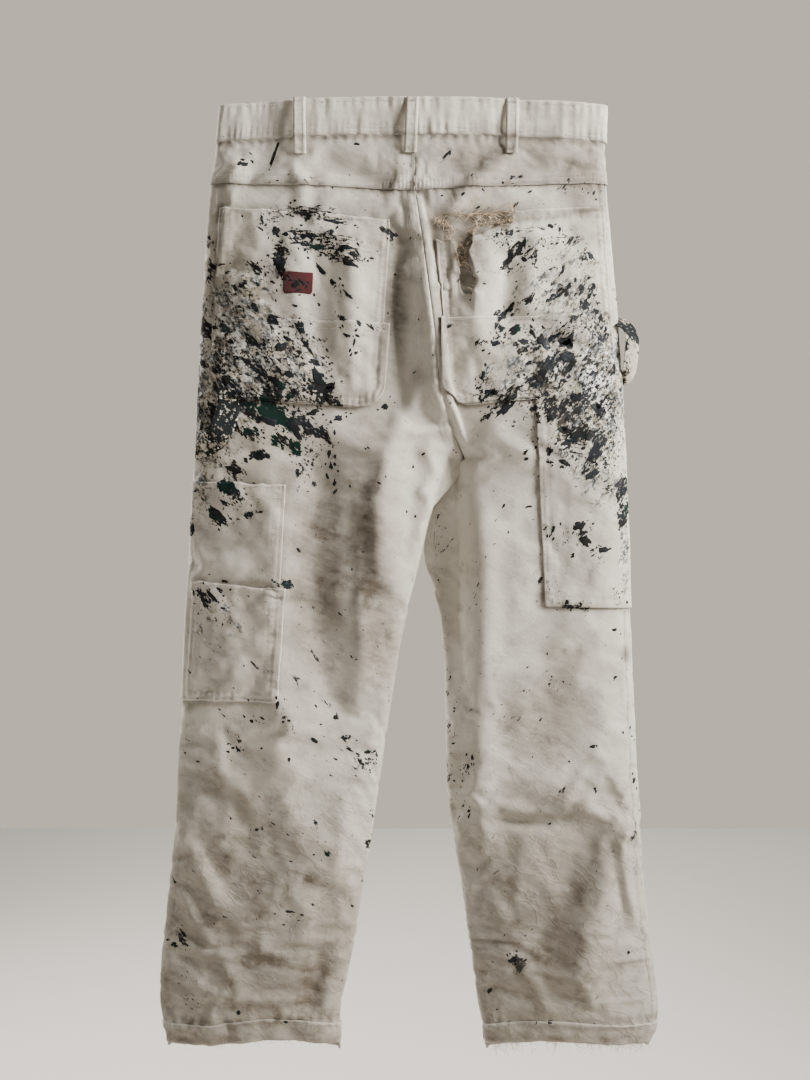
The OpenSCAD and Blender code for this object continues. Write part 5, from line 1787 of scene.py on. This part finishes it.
# (x, z, length, width, turn in degrees) in mm, on the seat side
DABS = [
    (-151.5, -64, 30, 3.6, 70), (-185, -75, 8, 5, 0), (-187, -70, 4, 5, 60),
    (-144, -189, 22, 13, -70), (-149, -152, 12, 9, 60), (-138, -156, 8, 5, 0), (-99, -137, 22, 9, -5),
    (-86, -143, 24, 4, -8), (-87, -155, 7, 5, 60), (-103, -171, 20, 6, -6), (-72, -172, 18, 6, -8),
    (-76, -183, 30, 6, -9), (-67, -190, 20, 7, -25), (-49, -183, 12, 3, 0), (-99, -196, 18, 5, -50),
    (-69, -225, 14, 4, -45), (-70, -270, 9, 4, -25), (-60, -288, 5, 4, 40), (-62, -277, 10, 3, 80),
    (-142, -281, 15, 11, 0), (-122, -287, 8, 6, -40), (-122, -258, 18, 10, -60), (-106, -298, 12, 7, -20),
    (-102.5, -314, 25, 11, -62), (-92, -326, 18, 11, 10), (-109, -326, 8, 7, 0), (-146, -321, 26, 8, -36),
    (-134, -311, 12, 8, -20), (-129, -332.5, 16, 9, 20), (-29, -346, 9, 7, 30), (-80, -359, 10, 6, 20),
    (-108, -353, 16, 8, 10), (-225, -156, 7, 4, -60), (-218, -190, 7, 5, 0), (-226, -211, 13, 4, -60),
    (-209, -198, 15, 8, -80), (-164, -401, 9, 6, 0), (-194, -416, 20, 7, -20), (-216, -465, 20, 12, -30),
    (-205, -452, 12, 5, -40), (-177, -465, 10, 7, 10), (-92, -380, 9, 4, 80), (-90, -398, 11, 4, 75),
    (-88, -412, 10, 4, -80), (-84, -430, 8, 4, 80), (-78, -361, 8, 4, 20), (-130, -540, 16, 4, -15),
    (-137, -542, 6, 5, 0), (-222, -552, 13, 5, -40), (-232, -563, 10, 7, -60), (-210, -548, 8, 4, -30),
    (-113, -396, 16, 8, -60), (-124, -378, 14, 7, -50), (-128, -366, 20, 12, -50), (-156, -362, 22, 8, -25),
    (115, -262, 18, 8, 35), (124, -276, 12, 8, -20), (92, -278, 13, 6, 20), (134, -267, 12, 5, -62),
    (145, -275, 22, 13, -60), (172, -275, 22, 16, 30), (171, -292, 24, 11, 15), (153, -302, 12, 7, 30),
    (140, -317, 12, 8, -40), (128, -299, 10, 4, 30), (79, -312, 10, 5, 70), (89, -331, 17, 8, 10),
    (109, -338, 16, 10, 40), (103, -349, 25, 8, 36), (135, -349, 10, 7, 0), (197, -331, 20, 10, 20),
    (205, -348, 22, 12, -40), (224, -331, 12, 9, 50), (182, -336, 20, 8, 10), (119, -178, 8, 6, 0),
    (124, -185, 9, 5, -60), (105, -156, 9, 3, 85), (153, -147, 7, 5, 0), (199, -179, 12, 6, -50),
    (167, -196, 14, 4, 62), (108, -187, 8, 4, 40), (167, -372, 12, 8, -30), (152, -396, 12, 6, 80),
    (168, -408, 12, 6, -20), (197, -378, 17, 8, 30), (206, -392, 14, 9, 20), (214, -408, 14, 8, 50),
    (200, -420, 19, 8, 30), (231, -441, 18, 14, 0), (235, -460, 24, 11, 80), (236, -482, 22, 9, 80),
    (184, -478, 14, 10, 20), (192, -494, 13, 9, -60), (156, -481, 8, 4, 80), (211, -504, 13, 8, 0),
    (172, -566, 12, 5, 0), (-39, -738, 16, 12, 30), (-48, -728, 9, 5, 0), (-74, -708, 20, 2.6, 0),
    (-126, -213, 10, 7, 20), (-120, -209, 8, 4, -30), (-131, -208, 5, 3, 0), (-123, -219, 7, 3, 10),
    (-146, -673, 8, 4, 80), (-133, -690, 5, 3, 0), (-133, -902, 11, 3, -8), (62, -744, 13, 8, 80),
    (56, -759, 8, 5, 60), (42, -716, 5, 3, 0), (38, -640, 7, 4, 80), (44, -690, 8, 4, 70),
    (118, -958, 10, 4, -60), (-262, -940, 6, 3, 0), (-170, -812, 6, 3, 20), (204, -106, 6, 3, 60),
    (112, -92, 8, 3, 30), (-128, -118, 4, 3, 0), (248, -760, 7, 4, 80), (-196, -722, 5, 3, 0),
]


class Skin:
    """The outermost cloth of one face, found by looking straight at it."""

    def __init__(self, face, names):
        points, faces = [], []
        for name in names:
            mesh = pieces[name].data
            count = len(points)
            points += [v.co.copy() for v in mesh.vertices]
            faces += [[count + i for i in polygon.vertices] for polygon in mesh.polygons]
        self.face = face
        self.tree = BVHTree.FromPolygons(points, faces)

    def at(self, x, z):
        """The point and normal of the cloth at a place, or None twice."""
        start = Vector((x * MM, 0.2 * self.face, z * MM))
        return self.tree.ray_cast(start, Vector((0, -self.face, 0)), 0.3)[:2]


# A dome of paint has a centre and rings: (share of its radius, share of its thickness).
CENTRE_HEIGHT = 0.32
DAB_RINGS = ((0.5, 0.30), (0.86, 0.24), (1.0, -0.12))
DROP_RINGS = ((0.8, 0.2), (1.0, -0.12))
DAB_SPOKES, DROP_SPOKES = 16, 8
STROKE_TURN = {LEFT: -42, RIGHT: 40}  # which way thrown paint lies on each half, degrees


def splat(skin, x, z, length, width, turn, seed, spokes):
    """Points and faces of one low dome of paint, with a ragged outline, or nothing where no cloth lies."""
    rings = DAB_RINGS if spokes == DAB_SPOKES else DROP_RINGS
    c, s = math.cos(math.radians(turn)), math.sin(math.radians(turn))
    thick = min(1.0, 0.35 + width / 14)
    points, heights = [], []
    for share, height in ((0.0, CENTRE_HEIGHT),) + rings:
        for k in range(spokes if share else 1):
            a = 2 * math.pi * k / spokes
            lobe = 1 + share * (0.42 * noise_a(2.4 * math.cos(a) + seed * 7.3, 2.4 * math.sin(a) + seed)
                                + 0.25 * noise_b(5.5 * math.cos(a) + seed, 5.5 * math.sin(a) + seed * 3.1))
            u, v = share * lobe * length / 2 * math.cos(a), share * lobe * width / 2 * math.sin(a)
            hit, normal = skin.at(x + u * c - v * s, z + u * s + v * c)
            if hit is None:
                return None
            points.append(hit + normal * (height * thick * MM))
            heights.append(hit.y)
    if max(heights) - min(heights) > (0.35 * width + 2.2) * MM:       # it would bridge a fold
        return None
    faces = [(0, 1 + k, 1 + (k + 1) % spokes) for k in range(spokes)]
    for r in range(len(rings) - 1):
        a, b = 1 + r * spokes, 1 + (r + 1) * spokes
        faces += [(a + k, b + k, b + (k + 1) % spokes, a + (k + 1) % spokes) for k in range(spokes)]
    last = 1 + (len(rings) - 1) * spokes
    faces.append(tuple(last + spokes - 1 - k for k in range(spokes)))
    return points, faces


def splatter():
    random = np.random.RandomState(17)
    unpainted = ("stitching", "torn", "hem_threads", "front_pocket_bag", "fly_", "zip_", "hammer",
                 "side_loop", "belt")
    worn = [name for name in pieces if not name.startswith(unpainted)]
    jobs = [(SEAT, *dab, i + 1, DAB_SPOKES) for i, dab in enumerate(DABS)]
    for x, z, length, width, turn in DABS:      # droplets thrown off each dab
        for _ in range(3):
            away = random.uniform(0.6, 1.3) * length + 2
            at = math.radians(turn + random.choice([0, 180]) + random.normal(0, 24))
            size = random.uniform(1.2, 3.4)
            place = x + away * math.cos(at), z + away * math.sin(at)
            jobs.append((SEAT, *place, size * random.uniform(1, 2.2), size, turn + random.normal(0, 15),
                         len(jobs), DROP_SPOKES))
    for face, tries in ((SEAT, 6200), (FLY, 1100)):
        x, z = random.uniform(-280, 280, tries), random.uniform(-1050, -50, tries)
        chance = 0.02 + 0.9 * np.clip(densities(face, x, z)["ink"], 0, 1) ** 1.6
        for i in np.nonzero(random.uniform(0, 1, tries) < chance)[0]:
            size = min(5.5, 1.1 + random.exponential(1.0))
            turn = STROKE_TURN[LEFT if x[i] < 0 else RIGHT] + random.normal(0, 28)
            jobs.append((face, x[i], z[i], size * random.uniform(1, 2.6), size, turn, len(jobs), DROP_SPOKES))
    over = {face: Skin(face, worn) for face in (SEAT, FLY)}
    made = {LEFT: ([], []), RIGHT: ([], [])}
    for face, x, z, *more in jobs:
        found = splat(over[face], x, z, *more)
        if found:
            points, faces = made[int(side_at(face, np.array(x), np.array(z)))]
            count = len(points)
            points += found[0]
            faces += [tuple(count + i for i in f) for f in found[1]]
    for side, (points, faces) in made.items():
        name = "paint_drops_" + word(side)
        follow(name, finish_mesh(name, points, faces, FILM), hip_and_leg(side), [])


splatter()

# ---------------------------------------------------------------- CAD nodes that stay

for material, nodes in ((BRASS, ("zip_chain", "zip_stops", "zip_slider", "zip_pull")),
                        (STEEL, ("waist_button", "button_tack"))):
    for node in nodes:
        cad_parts[node].data.materials.clear()
        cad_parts[node].data.materials.append(material)

# ---------------------------------------------------------------- stage, light and camera

def stage():
    world = bpy.data.worlds.new("studio")
    bpy.context.scene.world = world
    world.use_nodes = True
    tree = world.node_tree
    back = tree.nodes["Background"]
    back.inputs["Color"].default_value = (0.80, 0.73, 0.64, 1)
    back.inputs["Strength"].default_value = 0.085
    seen = tree.nodes.new("ShaderNodeBackground")
    seen.inputs["Color"].default_value = (0.69, 0.615, 0.51, 1)
    seen.inputs["Strength"].default_value = 0.95
    pick = tree.nodes.new("ShaderNodeMixShader")
    tree.links.new(tree.nodes.new("ShaderNodeLightPath").outputs["Is Camera Ray"], pick.inputs["Fac"])
    tree.links.new(back.outputs[0], pick.inputs[1])
    tree.links.new(seen.outputs[0], pick.inputs[2])
    tree.links.new(pick.outputs[0], tree.nodes["World Output"].inputs["Surface"])
    bpy.ops.mesh.primitive_plane_add(size=6, location=(0, 0, -1.45))
    floor = bpy.context.object
    floor.name = "floor"
    plain = Nodes("floor_pale")
    plain.shader.inputs["Base Color"].default_value = (0.86, 0.82, 0.76, 1)
    plain.shader.inputs["Roughness"].default_value = 0.8
    floor.data.materials.append(plain.material)

    # name, place, what it aims at, size, watts, colour and spread in degrees
    lights = [("window", (1.9, -0.72, 0.52), (0.06, 0, -0.16), (0.8, 1.0), 54, (1.0, 0.97, 0.925), 96),
              ("fill", (-0.6, -2.8, 0.5), (0, 0, -0.6), (2.2, 2.0), 4.5, (1.0, 0.93, 0.85), 180),
              ("floor_light", (0.5, 2.9, 1.6), (0.4, 1.3, -1.45), (2.8, 2.2), 70, (1.0, 0.97, 0.93), 150),
              ("front_floor", (0, -2.5, 2.3), (0, -2.7, -1.45), (3.0, 1.8), 45, (1.0, 0.97, 0.93), 80),
              ("fly_side", (-1.9, 1.0, 0.6), (0, 0, -0.40), (0.9, 1.1), 42, (1.0, 0.97, 0.93), 130)]
    for name, place, aim, size, watts, tint, spread in lights:
        data = bpy.data.lights.new(name, "AREA")
        data.shape = "RECTANGLE"
        data.size, data.size_y = size
        data.energy, data.color, data.spread = watts, tint, math.radians(spread)
        light = add_object(name, data)
        light.location = place
        light.rotation_euler = (Vector(aim) - Vector(place)).to_track_quat("-Z", "Y").to_euler()


def camera():
    data = bpy.data.cameras.new("camera")
    data.sensor_fit = "VERTICAL"
    data.sensor_height = 36
    data.lens = 45.5
    cam = add_object("camera", data)
    cam.location = (-0.0066, -1.53, -0.4928)
    cam.rotation_euler = (math.radians(90), 0, 0)
    bpy.context.scene.camera = cam


stage()
camera()
